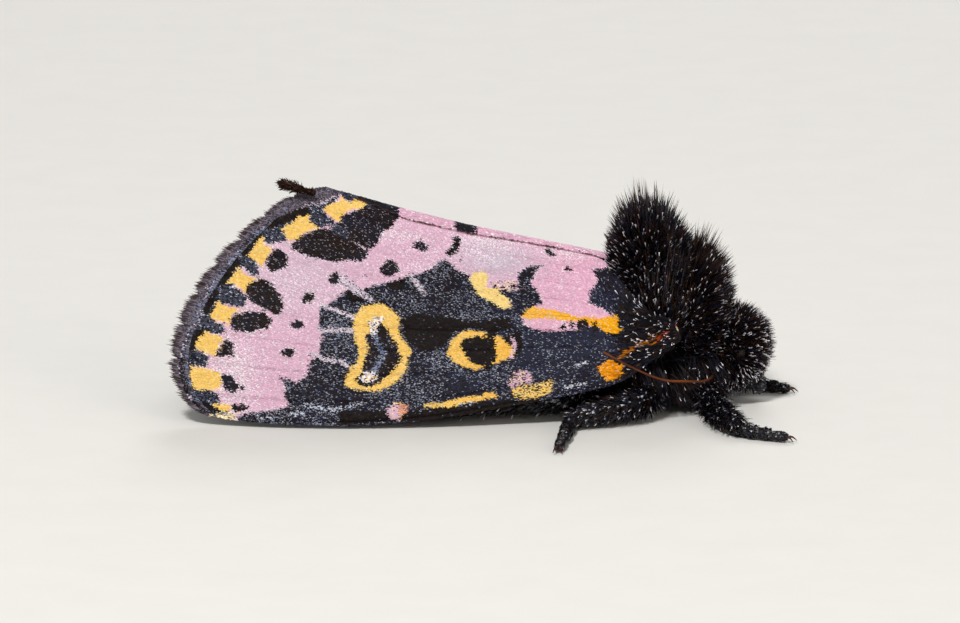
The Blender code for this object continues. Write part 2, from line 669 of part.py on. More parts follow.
    def add_coat(name, cores, growths, limits, material):
        """A shaggy node: locks grown out of its cores, then cut clear of everything near it."""
        locks = make_collection(name + "_locks")
        for growth in growths:
            grow_locks(locks, *growth, chance)
        coat = locks.objects[0]
        locks.objects.unlink(coat)
        bpy.context.scene.collection.objects.link(coat)
        apply_boolean(coat, "UNION", locks)
        near = make_collection(name + "_near")
        for limb_name, points in legs.items():
            leg(limb_name + "_clear", points, GAP, near)
        for word, side in sides:
            tube("antenna_clear", *antenna_lines(antennae[word], GAP), sides_level=1, collection=near)
            centre, radii = EYE
            middle = (centre[0], side * centre[1], centre[2])
            ellipsoid("eye_clear", (middle, radii), GAP, EYE_SEGMENTS, collection=near)
            leg("palp_clear", palps[word], GAP, near)
        apply_boolean(coat, "DIFFERENCE", near)
        middles = make_collection(name + "_cores")
        for core in cores:
            ellipsoid("core", core, collection=middles)
        apply_boolean(coat, "UNION", middles)
        far = make_collection(name + "_far")
        for word, side in sides:
            plate = forewing("wing_clear", side, GAP)
            bpy.context.scene.collection.objects.unlink(plate)
            far.objects.link(plate)
        for limit in limits:
            limit_block(limit, far)
        apply_boolean(coat, "DIFFERENCE", far)
        keep_largest(coat)
        coat.name = name
        add(coat, material)

    add_coat("thorax", (CREST_CORE, THORAX_CORE, WING_ROOT_CORE, other_side(WING_ROOT_CORE)),
             [(CREST_CORE, THORAX_REACH, CREST_LOCKS, lambda d: d.z > -0.3, UPWARD),
              (CREST_CORE, THORAX_REACH, CREST_FRONT_LOCKS, lambda d: d.x > 0.3 and d.z > 0.2, FORWARD),
              (THORAX_CORE, BREAST_REACH, BREAST_LOCKS, lambda d: d.z < -0.3 and d.x > -0.5, BACKWARD),
              (WING_ROOT_CORE, [WING_ROOT_REACH], WING_ROOT_LOCKS, lambda d: d.y > 0.0, UPWARD),
              (other_side(WING_ROOT_CORE), [other_side(WING_ROOT_REACH)], WING_ROOT_LOCKS,
               lambda d: d.y < 0.0, UPWARD)],
             [(THORAX_FRONT, 1)], black)
    add_coat("collar", (COLLAR_CORE,),
             [(COLLAR_CORE, COLLAR_REACH, COLLAR_LOCKS, lambda d: d.x > -0.5 and d.z > -0.6, FORWARD),
              (COLLAR_CORE, COLLAR_LOW_REACH, COLLAR_LOW_LOCKS, lambda d: d.z < -0.35, DOWNWARD)],
             [(THORAX_FRONT, -1), (COLLAR_FRONT, 1)], black)
    add_coat("head", (HEAD_CORE,),
             [(HEAD_CORE, HEAD_REACH, HEAD_LOCKS, lambda d: d.x > -0.25 and d.z > -0.6, AHEAD),
              (HEAD_CORE, BEARD_REACH, BEARD_LOCKS, lambda d: d.x > -0.3 and d.z < -0.55, DOWNWARD)],
             [(COLLAR_FRONT, -1)], black)

    moth = make_collection("spanish_moth")
    stand_point = bpy.data.objects.new("moth_origin", None)
    moth.objects.link(stand_point)
    for obj in nodes:
        obj.data.transform(Matrix.Scale(MILLIMETRE, 4))
        bpy.context.scene.collection.objects.unlink(obj)
        moth.objects.link(obj)
        obj.parent = stand_point


main()
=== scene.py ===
import math

import bmesh
import bpy
import numpy as np
from mathutils import Matrix, Vector


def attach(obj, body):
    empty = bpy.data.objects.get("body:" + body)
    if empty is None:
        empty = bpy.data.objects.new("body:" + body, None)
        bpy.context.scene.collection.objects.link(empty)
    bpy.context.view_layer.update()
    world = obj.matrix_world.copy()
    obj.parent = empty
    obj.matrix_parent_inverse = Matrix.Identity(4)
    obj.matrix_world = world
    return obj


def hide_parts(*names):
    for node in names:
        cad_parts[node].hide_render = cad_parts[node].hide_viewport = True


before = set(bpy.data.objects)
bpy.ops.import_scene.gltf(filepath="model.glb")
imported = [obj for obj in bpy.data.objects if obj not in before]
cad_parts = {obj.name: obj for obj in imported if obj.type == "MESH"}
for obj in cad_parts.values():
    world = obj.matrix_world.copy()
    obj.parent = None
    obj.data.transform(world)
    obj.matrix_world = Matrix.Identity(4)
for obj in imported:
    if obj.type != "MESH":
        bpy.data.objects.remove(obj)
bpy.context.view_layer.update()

mm = 0.001
chance = np.random.default_rng(21)

photo = {  # where the photo's pixels lie at the middle of the moth
    "pixelsPerMm": 26.0,
    "middleColumn": 480.0,
    "middleRow": 311.5,
    "aimHeight": 3.48,
    "distance": 400.0,
    "elevation": math.radians(12.0),
    "frameWidth": 36.9,
}

foreWing = {
    "costa": [(7.7, 3.0), (6.5, 2.25), (5.3, 1.6), (3.6, 1.22), (1.3, 0.85), (-1.5, 0.4), (-4.4, 0.17),
              (-7.2, 0.17), (-9.4, 0.28), (-10.7, 0.45)],
    "termen": [(-10.7, 0.45), (-11.45, 1.05), (-11.85, 2.0), (-11.8, 3.1), (-11.4, 4.2), (-10.75, 5.25),
               (-9.85, 6.3), (-8.7, 7.3), (-7.5, 8.1), (-6.2, 8.45)],
    "dorsum": [(7.45, 3.6), (6.7, 3.85), (5.9, 4.5), (5.2, 5.15), (4.5, 5.66), (2.5, 6.12), (0.0, 6.7),
               (-3.0, 7.48), (-6.2, 8.45)],
    "inset": 0.06,
    "thick": 0.12,
    "fringe": 0.972,  # share of the wing's length where the fringe starts
    "farLength": 0.955,  # the far wing is folded a little further forward, hidden behind the near one
    "veins": (0.035, 0.13, 0.24, 0.34, 0.44, 0.54, 0.65, 0.76, 0.88),
    "veinHeight": 0.07,
    "scale": (0.125, 0.054),  # length and width of one scale
    "pitch": (0.060, 0.0315),
    "grid": (96, 90),
}
hindWing = {
    "costa": [(5.1, 2.3), (3.0, 1.75), (0.0, 1.45), (-3.5, 1.4), (-6.6, 1.9)],
    "termen": [(-6.6, 1.9), (-7.9, 3.2), (-7.9, 4.8), (-6.7, 6.3), (-5.0, 7.3)],
    "dorsum": [(4.9, 3.2), (3.4, 4.3), (1.0, 5.6), (-2.0, 6.6), (-5.0, 7.3)],
    "inset": 1.25,
    "thick": 0.12,
    "fringe": 0.95,
    "veins": (0.08, 0.26, 0.42, 0.58, 0.76),
    "veinHeight": 0.06,
    "scale": (0.26, 0.11),
    "pitch": (0.13, 0.075),
    "grid": (48, 50),
}
ridge = {  # the far wing's margin laps over the near one along the top
    "scales": 6800,
    "top": [(-6.5, 8.35), (-5.2, 8.03), (-3.0, 7.57), (-0.5, 6.92), (1.92, 6.36), (4.0, 5.92), (5.4, 5.6)],
    "lap": [(-6.5, 0.4), (-5.2, 0.38), (-3.0, 0.35), (-0.5, 0.28), (1.92, 0.13), (4.0, 0.1), (5.4, 0.08)],
    "thick": 0.04,
    "from": -4.6,
    "to": 5.2,
    "taper": 1.8,
}
roof = {
    "ridgeHeight": 8.35, "tornus": -6.2, "fall": 0.23, "halfWidth": 5.3, "bulge": 0.35,
    "pinch": 0.020, "pinchFrom": -5.0, "shoulder": (6.4, 4.3), "swell": 1.1, "spread": (2.0, 1.1),
}


def linearColour(hexColour):
    values = [int(hexColour[i:i + 2], 16) / 255 for i in (1, 3, 5)]
    return np.array([v / 12.92 if v <= 0.04045 else ((v + 0.055) / 1.055) ** 2.4 for v in values])


def smoothLine(points, steps):
    given = np.array(points, float)
    padded = np.vstack([2 * given[0] - given[1], given, 2 * given[-1] - given[-2]])
    t = np.arange(steps)[:, None] / steps
    parts = []
    for i in range(1, len(padded) - 2):
        before, start, end, after = padded[i - 1:i + 3]
        square = 2 * before - 5 * start + 4 * end - after
        cube = 3 * start - before - 3 * end + after
        parts.append(0.5 * (2 * start + (end - before) * t + square * t ** 2 + cube * t ** 3))
    return np.vstack([*parts, given[-1:]])


def placeAtShare(points, shares):
    line = smoothLine(points, 12)
    lengths = np.concatenate([[0.0], np.cumsum(np.linalg.norm(np.diff(line, axis=0), axis=1))])
    wanted = np.asarray(shares, float) * lengths[-1]
    return np.stack([np.interp(wanted, lengths, line[:, k]) for k in range(line.shape[1])], axis=-1)


def heightAt(points, x):
    line = np.array(sorted(points), float)
    return np.interp(x, line[:, 0], line[:, 1])


def unit(vectors):
    return vectors / np.maximum(np.linalg.norm(vectors, axis=-1, keepdims=True), 1e-9)


def roofDistance(x, z):
    top = roof["ridgeHeight"] - roof["fall"] * (x - roof["tornus"])
    drop = (top - z) / top
    spread = drop + roof["bulge"] * drop * (1 - drop)
    width = roof["halfWidth"] - roof["pinch"] * np.minimum(0, x - roof["pinchFrom"]) ** 2
    (shoulderX, shoulderZ), (spreadX, spreadZ) = roof["shoulder"], roof["spread"]
    away = ((x - shoulderX) / spreadX) ** 2 + ((z - shoulderZ) / spreadZ) ** 2
    return width * spread + roof["swell"] * np.exp(-away)


def wingPlace(wing, side, along, across, raised=0.0):
    along, across = np.asarray(along, float), np.asarray(across, float)
    if side > 0:
        along = along * wing.get("farLength", 1.0)
    low, high = placeAtShare(wing["costa"], along), placeAtShare(wing["dorsum"], along)
    outer = placeAtShare(wing["termen"], across)
    apex, tornus = np.array(wing["termen"][0]), np.array(wing["termen"][-1])
    a, t = across[..., None], along[..., None]
    flat = low * (1 - a) + high * a + t * (outer - apex * (1 - a) - tornus * a)
    x, z = flat[..., 0], flat[..., 1]
    relief = sum(np.exp(-((across - vein) / 0.009) ** 2) for vein in wing["veins"])
    relief = relief * wing["veinHeight"] * np.minimum(1, along / 0.3)
    y = np.maximum(roofDistance(x, z) - wing["inset"], 0.05) + relief + raised
    return np.stack([x, side * y, z], axis=-1)


def paintMesh(mesh, colours):
    layer = mesh.color_attributes.new(name="markColour", type="FLOAT_COLOR", domain="POINT")
    full = np.ones((len(mesh.vertices), 4), np.float32)
    full[:, :3] = colours
    layer.data.foreach_set("color", full.ravel())


def meshFromBmesh(name, bm, size=mm):
    bmesh.ops.recalc_face_normals(bm, faces=bm.faces)
    bmesh.ops.scale(bm, vec=(size, size, size), verts=bm.verts)
    mesh = bpy.data.meshes.new(name)
    bm.to_mesh(mesh)
    bm.free()
    return mesh


def meshPlaces(mesh):
    places = np.empty(len(mesh.vertices) * 3)
    mesh.vertices.foreach_get("co", places)
    return places.reshape(-1, 3) / mm


def addPiece(name, mesh, material, replaced=(), smooth=False):
    piece = bpy.data.objects.new(name, mesh)
    bpy.context.scene.collection.objects.link(piece)
    mesh.materials.clear()
    mesh.materials.append(material)
    mesh.polygons.foreach_set("use_smooth", [smooth] * len(mesh.polygons))
    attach(piece, "root")
    if replaced:
        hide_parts(*replaced)
    mesh.calc_loop_triangles()
    print(f"{name}: {len(mesh.loop_triangles)} triangles")
    return piece


def addNode(tree, kind, inputs=None, links=None, **settings):
    node = tree.nodes.new(kind)
    for key, value in settings.items():
        setattr(node, key, value)
    for key, value in (inputs or {}).items():
        node.inputs[key].default_value = value
    for key, source in (links or {}).items():
        tree.links.new(source, node.inputs[key])
    return node


def startMaterial(name):
    material = bpy.data.materials.new(name)
    material.use_nodes = True
    tree = material.node_tree
    return material, tree, tree.nodes["Principled BSDF"]


# Marks of the near forewing
# Each outline or line is drawn in the photo's pixels, and laid on the wing through the camera's own view.
yellowSpots = [
    [(324, 209), (331, 205), (340, 202), (343, 197), (350, 204), (356, 210), (349, 211), (343, 215),
     (342, 223), (335, 220), (330, 215)],
    [(351, 202), (360, 200), (368, 204), (362, 209), (353, 208)],
    [(282, 229), (293, 223), (302, 216), (311, 216), (309, 221), (313, 224), (320, 228), (311, 231),
     (302, 235), (297, 241), (288, 240), (286, 234)],
    [(263, 236), (266, 246), (274, 249), (266, 260), (264, 267), (255, 261), (248, 256), (257, 244)],
    [(239, 268), (244, 273), (250, 277), (259, 279), (249, 284), (247, 294), (239, 287), (235, 283),
     (226, 284), (233, 276)],
    [(220, 301), (223, 305), (230, 308), (242, 309), (235, 313), (231, 318), (230, 325), (225, 322),
     (216, 320), (211, 318), (215, 307)],
    [(206, 330), (212, 335), (225, 337), (220, 346), (216, 356), (206, 353), (197, 349), (197, 342),
     (202, 337)],
    [(191, 367), (198, 367), (208, 369), (221, 373), (222, 380), (221, 388), (215, 390), (205, 390),
     (196, 389), (192, 383), (191, 375)],
    [(213, 405), (219, 404), (231, 405), (232, 409), (226, 412), (220, 410)],
]
slatePatches = [
    [(308, 226), (312, 215), (322, 209), (335, 222), (333, 226), (318, 228)],
    [(343, 190), (352, 184), (362, 196), (352, 203), (343, 198)],
    [(350, 198), (358, 190), (380, 196), (406, 206), (406, 216), (368, 209), (356, 206)],
    [(330, 228), (340, 222), (347, 232), (356, 244), (372, 254), (362, 252), (350, 244), (338, 238)],
    [(264, 236), (275, 231), (284, 230), (288, 241), (278, 243), (268, 245)],
    [(240, 251), (250, 254), (257, 262), (261, 276), (251, 275), (243, 266)],
    [(219, 288), (228, 287), (240, 290), (248, 299), (244, 307), (232, 306), (222, 300)],
    [(201, 330), (207, 321), (216, 322), (225, 325), (224, 335), (212, 333)],
    [(187, 365), (192, 352), (200, 351), (210, 356), (207, 367), (195, 366)],
    [(196, 402), (197, 391), (210, 391), (220, 393), (219, 402), (208, 404)],
]
blackMarks = [
    [(343, 215), (353, 213), (357, 211), (368, 207), (404, 213), (397, 221), (393, 227), (384, 231),
     (379, 240), (374, 249), (369, 250), (361, 245), (351, 240), (346, 231), (341, 225)],
    [(292, 244), (302, 236), (313, 232), (323, 228), (333, 231), (343, 238), (353, 241), (363, 248),
     (369, 254), (363, 262), (351, 260), (334, 262), (321, 259), (307, 256), (299, 253), (293, 249)],
    [(279, 249), (288, 255), (288, 266), (281, 270), (272, 272), (266, 265), (268, 258), (275, 250)],
    [(248, 284), (255, 282), (263, 279), (270, 283), (276, 289), (281, 296), (284, 304), (283, 310),
     (280, 316), (255, 304), (248, 298), (247, 290)],
    [(234, 315), (248, 312), (263, 312), (273, 320), (270, 327), (256, 331), (244, 333), (235, 331),
     (231, 324)],
    [(228, 339), (234, 344), (235, 356), (228, 356), (221, 358), (216, 356), (219, 350), (225, 343)],
    [(221, 375), (230, 375), (235, 380), (240, 387), (236, 392), (230, 394), (225, 388), (223, 381)],
    [(233, 404), (244, 404), (250, 407), (245, 411), (235, 412)],
]
darkField = [
    (329, 304), (338, 298), (346, 291), (363, 291), (371, 286), (388, 283), (410, 276), (409, 270),
    (412, 276), (422, 273), (431, 270), (440, 262), (446, 260), (453, 265), (458, 270), (470, 276),
    (470, 281), (475, 287), (485, 299), (494, 303), (504, 309), (511, 308), (512, 301), (501, 294),
    (499, 290), (510, 291), (520, 289), (518, 276), (528, 267), (545, 265), (537, 271), (531, 283),
    (540, 295), (543, 304), (533, 307), (522, 317), (525, 325), (534, 329), (546, 331), (562, 331),
    (578, 330), (583, 326), (590, 326), (598, 328), (603, 331), (612, 333), (622, 334), (618, 317),
    (609, 314), (603, 309), (590, 304), (589, 293), (597, 285), (598, 280), (592, 270), (611, 268),
    (618, 240), (760, 240), (760, 440), (240, 440), (240, 416), (246, 413), (268, 411), (290, 407),
    (285, 396), (287, 387), (280, 377), (287, 378), (297, 383), (307, 377), (311, 360), (321, 357),
    (320, 351), (321, 341), (323, 332), (320, 328), (320, 317), (321, 308),
]
kidneyRing = [
    (378, 304), (384, 304), (396, 313), (401, 320), (399, 328), (402, 338), (409, 346), (412, 352),
    (408, 363), (406, 371), (399, 380), (388, 387), (375, 391), (359, 390), (348, 388), (345, 384),
    (349, 372), (358, 362), (360, 351), (356, 340), (354, 328), (355, 322), (357, 315), (365, 306),
]
kidneyHeart = [
    (381, 321), (387, 327), (391, 336), (397, 343), (399, 350), (403, 358), (396, 368), (390, 375),
    (384, 380), (373, 387), (361, 387), (356, 380), (363, 371), (366, 358), (369, 351), (366, 341),
    (367, 334), (374, 331), (376, 327),
]
roundRing = [
    (447, 353), (453, 340), (458, 334), (466, 331.5), (473, 331), (486, 332), (498, 335), (504, 339),
    (512, 346), (513, 353), (506, 360), (492, 364), (481, 369), (473, 369), (461, 365.5), (453, 361),
]
roundHeart = [
    (465, 338), (460, 345), (465.5, 354), (470.5, 361), (476, 364.7), (484, 366), (496, 361), (497, 350),
    (495, 339), (481, 336),
]
roundGaps = [[(487, 328), (498, 331), (497, 338), (487, 337)],
             [(485, 361), (491, 360), (490, 369), (484, 371)]]
ringBlush = [(512, 338), (516, 347), (511, 358)]
kidneyWhites = [
    [(370, 323), (376, 317), (384, 317), (385, 320), (378, 325), (377, 335), (371, 335)],
    [(361, 379), (365, 372), (374, 371), (380, 376), (373, 382), (364, 383)],
]
kidneyStreak = [(375, 334), (379, 345), (385, 354), (379, 364), (374, 371)]
quietPatches = [  # brown-black fields with hardly any pale scales
    [(402, 320), (416, 314), (446, 317), (478, 322), (508, 318), (516, 328), (500, 331), (470, 328),
     (456, 331), (446, 346), (425, 352), (408, 342)],
    [(500, 340), (520, 330), (524, 345), (514, 362), (506, 360)],
    [(340, 412), (420, 410), (500, 401), (540, 398), (540, 415), (340, 425)],
    [(346, 292), (372, 287), (366, 300), (352, 304)], [(388, 284), (409, 277), (405, 289), (392, 292)],
]
marginOuter = [
    (352, 180), (330, 178), (306, 182), (284, 192), (262, 206), (242, 221), (225, 238), (210, 259),
    (196, 278), (187, 298), (177, 318), (167, 337), (160, 359), (158, 384), (166, 402), (184, 418),
    (208, 426),
]
speckledLine = [
    (340, 196), (323, 204), (309, 206), (297, 211), (284, 218), (273, 225), (262, 231), (250, 240),
    (237, 257), (226, 270), (216, 283), (209, 290), (207, 303), (199, 320), (189, 335), (183, 353),
    (180, 365), (180, 380), (184, 391), (191, 400), (201, 405), (215, 412),
]
marginInner = [
    (232, 412), (222, 404), (215, 392), (197, 385), (193, 368), (200, 352), (206, 338), (212, 330),
    (218, 310), (228, 302), (232, 288), (240, 278), (246, 262), (256, 256), (262, 242), (272, 238),
    (284, 232), (300, 222), (318, 214), (335, 204),
]
pinkTriangle = [(490, 284), (500, 281), (519, 283), (518, 290), (508, 292), (496, 290)]
triangleDots = [[(496, 286), (497, 289)], [(503, 288), (506, 290)], [(512, 285), (515, 288)]]
amberStreak = [(622, 357), (640, 347), (656, 340), (668, 334)]
russetStreak = [(664, 337), (673, 332), (675, 326)]
creamBits = [[(630, 324), (643, 327)], [(655, 330), (660, 331)], [(676, 328), (680, 330)]]
# white dashes at the wing's base; the first, near the root, is a painted highlight on a rounded edge
baseWhitesAndHighlight = [[(675, 348), (685, 342)], [(566, 388), (586, 383)], [(574, 367), (590, 361)]]
crescent = [
    (470, 281), (475, 273), (483, 272), (488, 275), (488, 282), (487, 288), (498, 288), (501, 294),
    (510, 299), (511, 308), (504, 309), (494, 303), (485, 299), (478, 295), (475, 287),
]
baseStripe = [
    (522, 317), (527, 311), (533, 307), (553, 310), (578, 317), (600, 319), (618, 315), (621, 325),
    (622, 334), (612, 333), (603, 331), (598, 327), (590, 325), (583, 321), (575, 321), (565, 322),
    (548, 318), (530, 320),
]
stripePink = [(530, 320), (548, 318), (562, 321), (575, 322), (583, 324), (578, 330), (560, 331),
              (546, 331), (534, 329)]
stripeNotches = [
    [(562, 330), (560, 326), (566, 323), (567, 329)], [(570, 328), (571, 321), (575, 323), (574, 329)],
    [(577, 325), (580, 320), (587, 320), (590, 330), (584, 325), (580, 331)],
    [(593, 332), (594, 322), (597, 323), (598, 333)],
]
costalDash = [
    (423, 406), (430, 403), (438, 404), (449, 401), (461, 398), (483, 395), (487, 392), (494, 393),
    (498, 397), (487, 399.5), (463, 404), (450, 407), (437, 407), (425, 408),
]
costalPatch = [(513, 391), (519, 386), (532, 384), (545, 382), (553, 380), (552, 392), (541, 397),
               (525, 399), (514, 396)]
palePatch = [(508, 384), (512, 377), (516, 371), (524, 370), (531, 373), (533, 382), (519, 386), (512, 389)]
coralSpot = [(387, 411), (393, 404), (401, 402), (409, 406), (407, 413), (400, 420), (391, 419)]
orangeSpot = [(599, 367), (607, 362), (614, 360), (625, 366), (625, 373), (620, 378), (608, 381), (602, 374)]
starSpots = [
    [(380, 270), (386, 262), (392, 260), (396, 263), (400, 272), (393, 276), (387, 278), (383, 275)],
    [(329, 280), (333, 273), (338, 272), (341, 279), (337, 285), (331, 284)],
    [(302, 299), (306, 294), (313, 293), (316, 298), (312, 303), (305, 303)],
    [(291, 325), (296, 320), (303, 321), (306, 326), (300, 329), (294, 329)],
    [(281, 353), (287, 348), (294, 349), (295, 355), (288, 358)],
    [(413, 247), (417, 242), (421, 241), (426, 244), (430, 250), (424, 252), (419, 251)],
    [(445, 252), (451, 249), (455, 244), (452, 238), (459, 237), (462, 241), (460, 248), (457, 253),
     (450, 257)],
    [(546, 252), (549, 249), (553, 252), (557, 256), (551, 257)],
    [(565, 270), (568, 266), (573, 271), (569, 272)],
    [(365, 273), (367, 273), (367, 276), (365, 276)], [(241, 386), (245, 386), (245, 390), (241, 390)],
    [(460, 259), (463, 259), (463, 262), (460, 262)],
]
whiteBand = [(211, 414), (224, 413), (238, 414), (238, 419), (224, 420), (212, 420)]
lapSpot = [(457, 212), (457, 231), (478, 234), (480, 216)]
paleVeins = [
    [(320, 305), (338, 311), (355, 318)], [(320, 331), (338, 330), (356, 331)],
    [(311, 353), (326, 360), (341, 361), (348, 366)], [(341, 281), (351, 289), (363, 296)],
    [(343, 276), (354, 286), (372, 300)], [(411, 276), (418, 284), (425, 293)],
]
faintVeins = [[(290, 243), (345, 290)], [(262, 268), (330, 300)], [(238, 305), (275, 318)]]
mists = [  # centre, reach and strength of the patches that white scales dust over
    (232, 372, 34, 46, 0.5), (484, 244, 40, 18, 0.42), (572, 250, 44, 12, 0.36), (395, 236, 44, 9, 0.36),
    (300, 290, 40, 20, 0.2), (425, 262, 24, 26, 0.22), (250, 330, 30, 30, 0.25),
]
whiteStreaks = [
    [(305, 404), (333, 410), (363, 403)], [(461, 405), (473, 403)], [(259, 418), (271, 418)],
    [(292, 414), (304, 413)],
]
lunules = [
    [(270, 226), (289, 218), (307, 211)], [(244, 252), (252, 242), (260, 233)],
    [(222, 282), (228, 272), (238, 262)],
    [(207, 309), (216, 293)], [(190, 349), (194, 339), (201, 331)], [(184, 361), (185, 376), (189, 389)],
    [(197, 403), (207, 408), (218, 411)],
]
shades = {name: linearColour("#" + code) for name, code in {
    "pink": "dcb3c7", "magenta": "e3b0c6", "ashen": "cdbecb", "white": "f6eef2", "yellow": "f2c86a",
    "straw": "f2d486", "gold": "f2ac06", "amber": "a8620e", "russet": "b5400f", "cream": "f2dda6",
    "coral": "d98a6a", "orange": "f09c08", "inky": "16131e", "black": "120c0b", "blueBlack": "1a1c2c",
    "navy": "292d45", "slate": "484a5a", "frost": "cdd0de", "steel": "7d87a3", "fringe": "746a74",
    "fringeDark": "3d3742", "fringeTip": "4a3a38", "umber": "2a1a12", "brown": "4a2c1a",
    "charcoal": "2e2c30", "horn": "6e340c", "claw": "3a1c0c",
}.items()}
lowerMarks = [  # shade, kind, half the width of a line or None for an outline, and the lines or outlines
    ("slate", 5, None, [marginOuter + marginInner, *slatePatches]),
    ("fringe", 10, None, [marginOuter + speckledLine[::-1]]), ("ashen", 5, 1.3, [speckledLine]),
    ("black", 4, 4.2, lunules), ("yellow", 2, None, yellowSpots), ("black", 7, None, blackMarks),
    ("inky", 1, None, [darkField]),
]
upperMarks = [
    ("ashen", 3, 2.0, paleVeins), ("pink", 6, None, [pinkTriangle]), ("black", 4, 1.5, triangleDots),
    ("yellow", 2, None, [kidneyRing]), ("black", 7, None, [kidneyHeart]), ("steel", 5, 2.4, [kidneyStreak]),
    ("white", 8, None, kidneyWhites), ("pink", 0, 1.8, [ringBlush]), ("yellow", 2, None, [roundRing]),
    ("black", 4, None, [roundHeart, *roundGaps]), ("gold", 2, None, [baseStripe]),
    ("magenta", 0, None, [stripePink]), ("black", 4, None, stripeNotches),
    ("yellow", 2, None, [costalDash]), ("pink", 9, None, [palePatch]), ("yellow", 9, None, [costalPatch]),
    ("pink", 6, None, [coralSpot]), ("orange", 2, None, [orangeSpot]), ("amber", 6, 1.8, [amberStreak]),
    ("russet", 6, 1.8, [russetStreak]), ("cream", 3, 1.6, creamBits), ("frost", 3, 0.8, baseWhitesAndHighlight),
    ("black", 7, None, starSpots), ("frost", 5, 1.5, whiteStreaks), ("cream", 3, None, [whiteBand]),
]
strayScales = [  # kind of mark, the range of random picks, and the shade of those scales
    (4, 0.0, 0.15, "umber"), (4, 0.985, 1.0, "steel"), (7, 0.0, 0.4, "umber"), (8, 0.0, 0.3, "black"),
    (8, 0.3, 0.42, "yellow"), (0, 0.0, 0.06, "white"), (3, 0.0, 0.35, "white"), (3, 0.86, 1.0, "blueBlack"),
    (5, 0.0, 0.34, "blueBlack"), (5, 0.34, 0.5, "black"), (5, 0.5, 0.6, "frost"), (9, 0.0, 0.34, "umber"),
    (9, 0.34, 0.48, "cream"), (10, 0.0, 0.5, "fringeDark"), (6, 0.0, 0.22, "cream"), (6, 0.22, 0.34, "umber"),
    (6, 0.44, 0.54, "ashen"), (2, 0.0, 0.1, "cream"),
]


def inPhoto(points):
    # columns and rows of the photo for points on the wings, with the far wing folded onto the near one
    forward = np.array([0, math.cos(photo["elevation"]), -math.sin(photo["elevation"])])
    upward = np.array([0, math.sin(photo["elevation"]), math.cos(photo["elevation"])])
    near = points * np.array([1, 0, 1]) - np.abs(points) * np.array([0, 1, 0])
    offset = near - np.array([0, 0, photo["aimHeight"]])
    depth = photo["distance"] + offset @ forward
    gain = photo["pixelsPerMm"] * photo["distance"] / depth
    return photo["middleColumn"] + gain * offset[:, 0], photo["middleRow"] - gain * (offset @ upward)


def insideOutline(column, row, outline):
    inside = np.zeros(len(column), bool)
    for (c0, r0), (c1, r1) in zip(outline, outline[1:] + outline[:1]):
        if r0 != r1:
            crosses = (row > r0) != (row > r1)
            inside ^= crosses & (column < c0 + (row - r0) * (c1 - c0) / (r1 - r0))
    return inside


def nearLine(column, row, line, halfWidth):
    near = np.zeros(len(column), bool)
    for (c0, r0), (c1, r1) in zip(line, line[1:]):
        run = (c1 - c0) ** 2 + (r1 - r0) ** 2
        t = np.clip(((column - c0) * (c1 - c0) + (row - r0) * (r1 - r0)) / run, 0, 1)
        near |= np.hypot(column - c0 - t * (c1 - c0), row - r0 - t * (r1 - r0)) < halfWidth
    return near


def blotches(points, size, seed):
    # smooth values from -1 to 1 that change over about size millimetres
    turns = np.random.default_rng(seed)
    total = np.zeros(len(points))
    for wave in range(6):
        heading = unit(turns.normal(size=3))
        rate = 2 * math.pi / size * turns.uniform(0.6, 1.5)
        total += np.sin(points @ heading * rate + turns.uniform(0, 6.28))
    return total / 3


def wingMarks(column, row):
    # colour and kind at each place: 0 pink, 1 dark, 2 yellow, 3 pale, 4 deep black, 5 slate, 6 mottled,
    # 7 brown-black, 8 white, 9 dull and mottled, 10 fringe
    magenta = np.clip((column - 470) / 130, 0, 1)[:, None]
    colour = shades["pink"] * (1 - magenta) + shades["magenta"] * magenta
    ash = np.clip(1 - np.hypot((column - 500) / 60, (row - 262) / 26), 0, 1)[:, None]
    ash = np.maximum(ash, np.clip(1 - np.hypot((column - 300) / 90, (row - 270) / 60), 0, 1)[:, None] * 0.5)
    colour = colour * (1 - ash) + shades["ashen"] * ash
    kind = np.zeros(len(column), int)

    def lay(mask, shade, value):
        colour[mask] = shades[shade]
        kind[mask] = value

    def layAll(marks):
        for shade, value, halfWidth, shapes in marks:
            for shape in shapes:
                if halfWidth:
                    lay(nearLine(column, row, shape, halfWidth), shade, value)
                else:
                    lay(insideOutline(column, row, shape), shade, value)

    layAll(lowerMarks)
    for outline in quietPatches:
        lay(insideOutline(column, row, outline) & (kind == 1), "black", 4)
    layAll(upperMarks)
    lay(insideOutline(column, row, coralSpot) & (column > 400), "coral", 6)
    golden = (kind == 2) & (column > 320) & ~((row > 355) & (column > 590))
    warm = np.clip((column - 430) / 170, 0, 1)[:, None]
    colour[golden] = (shades["yellow"] * (1 - warm) + shades["gold"] * warm)[golden]
    lay(insideOutline(column, row, crescent), "straw", 2)
    return colour, kind


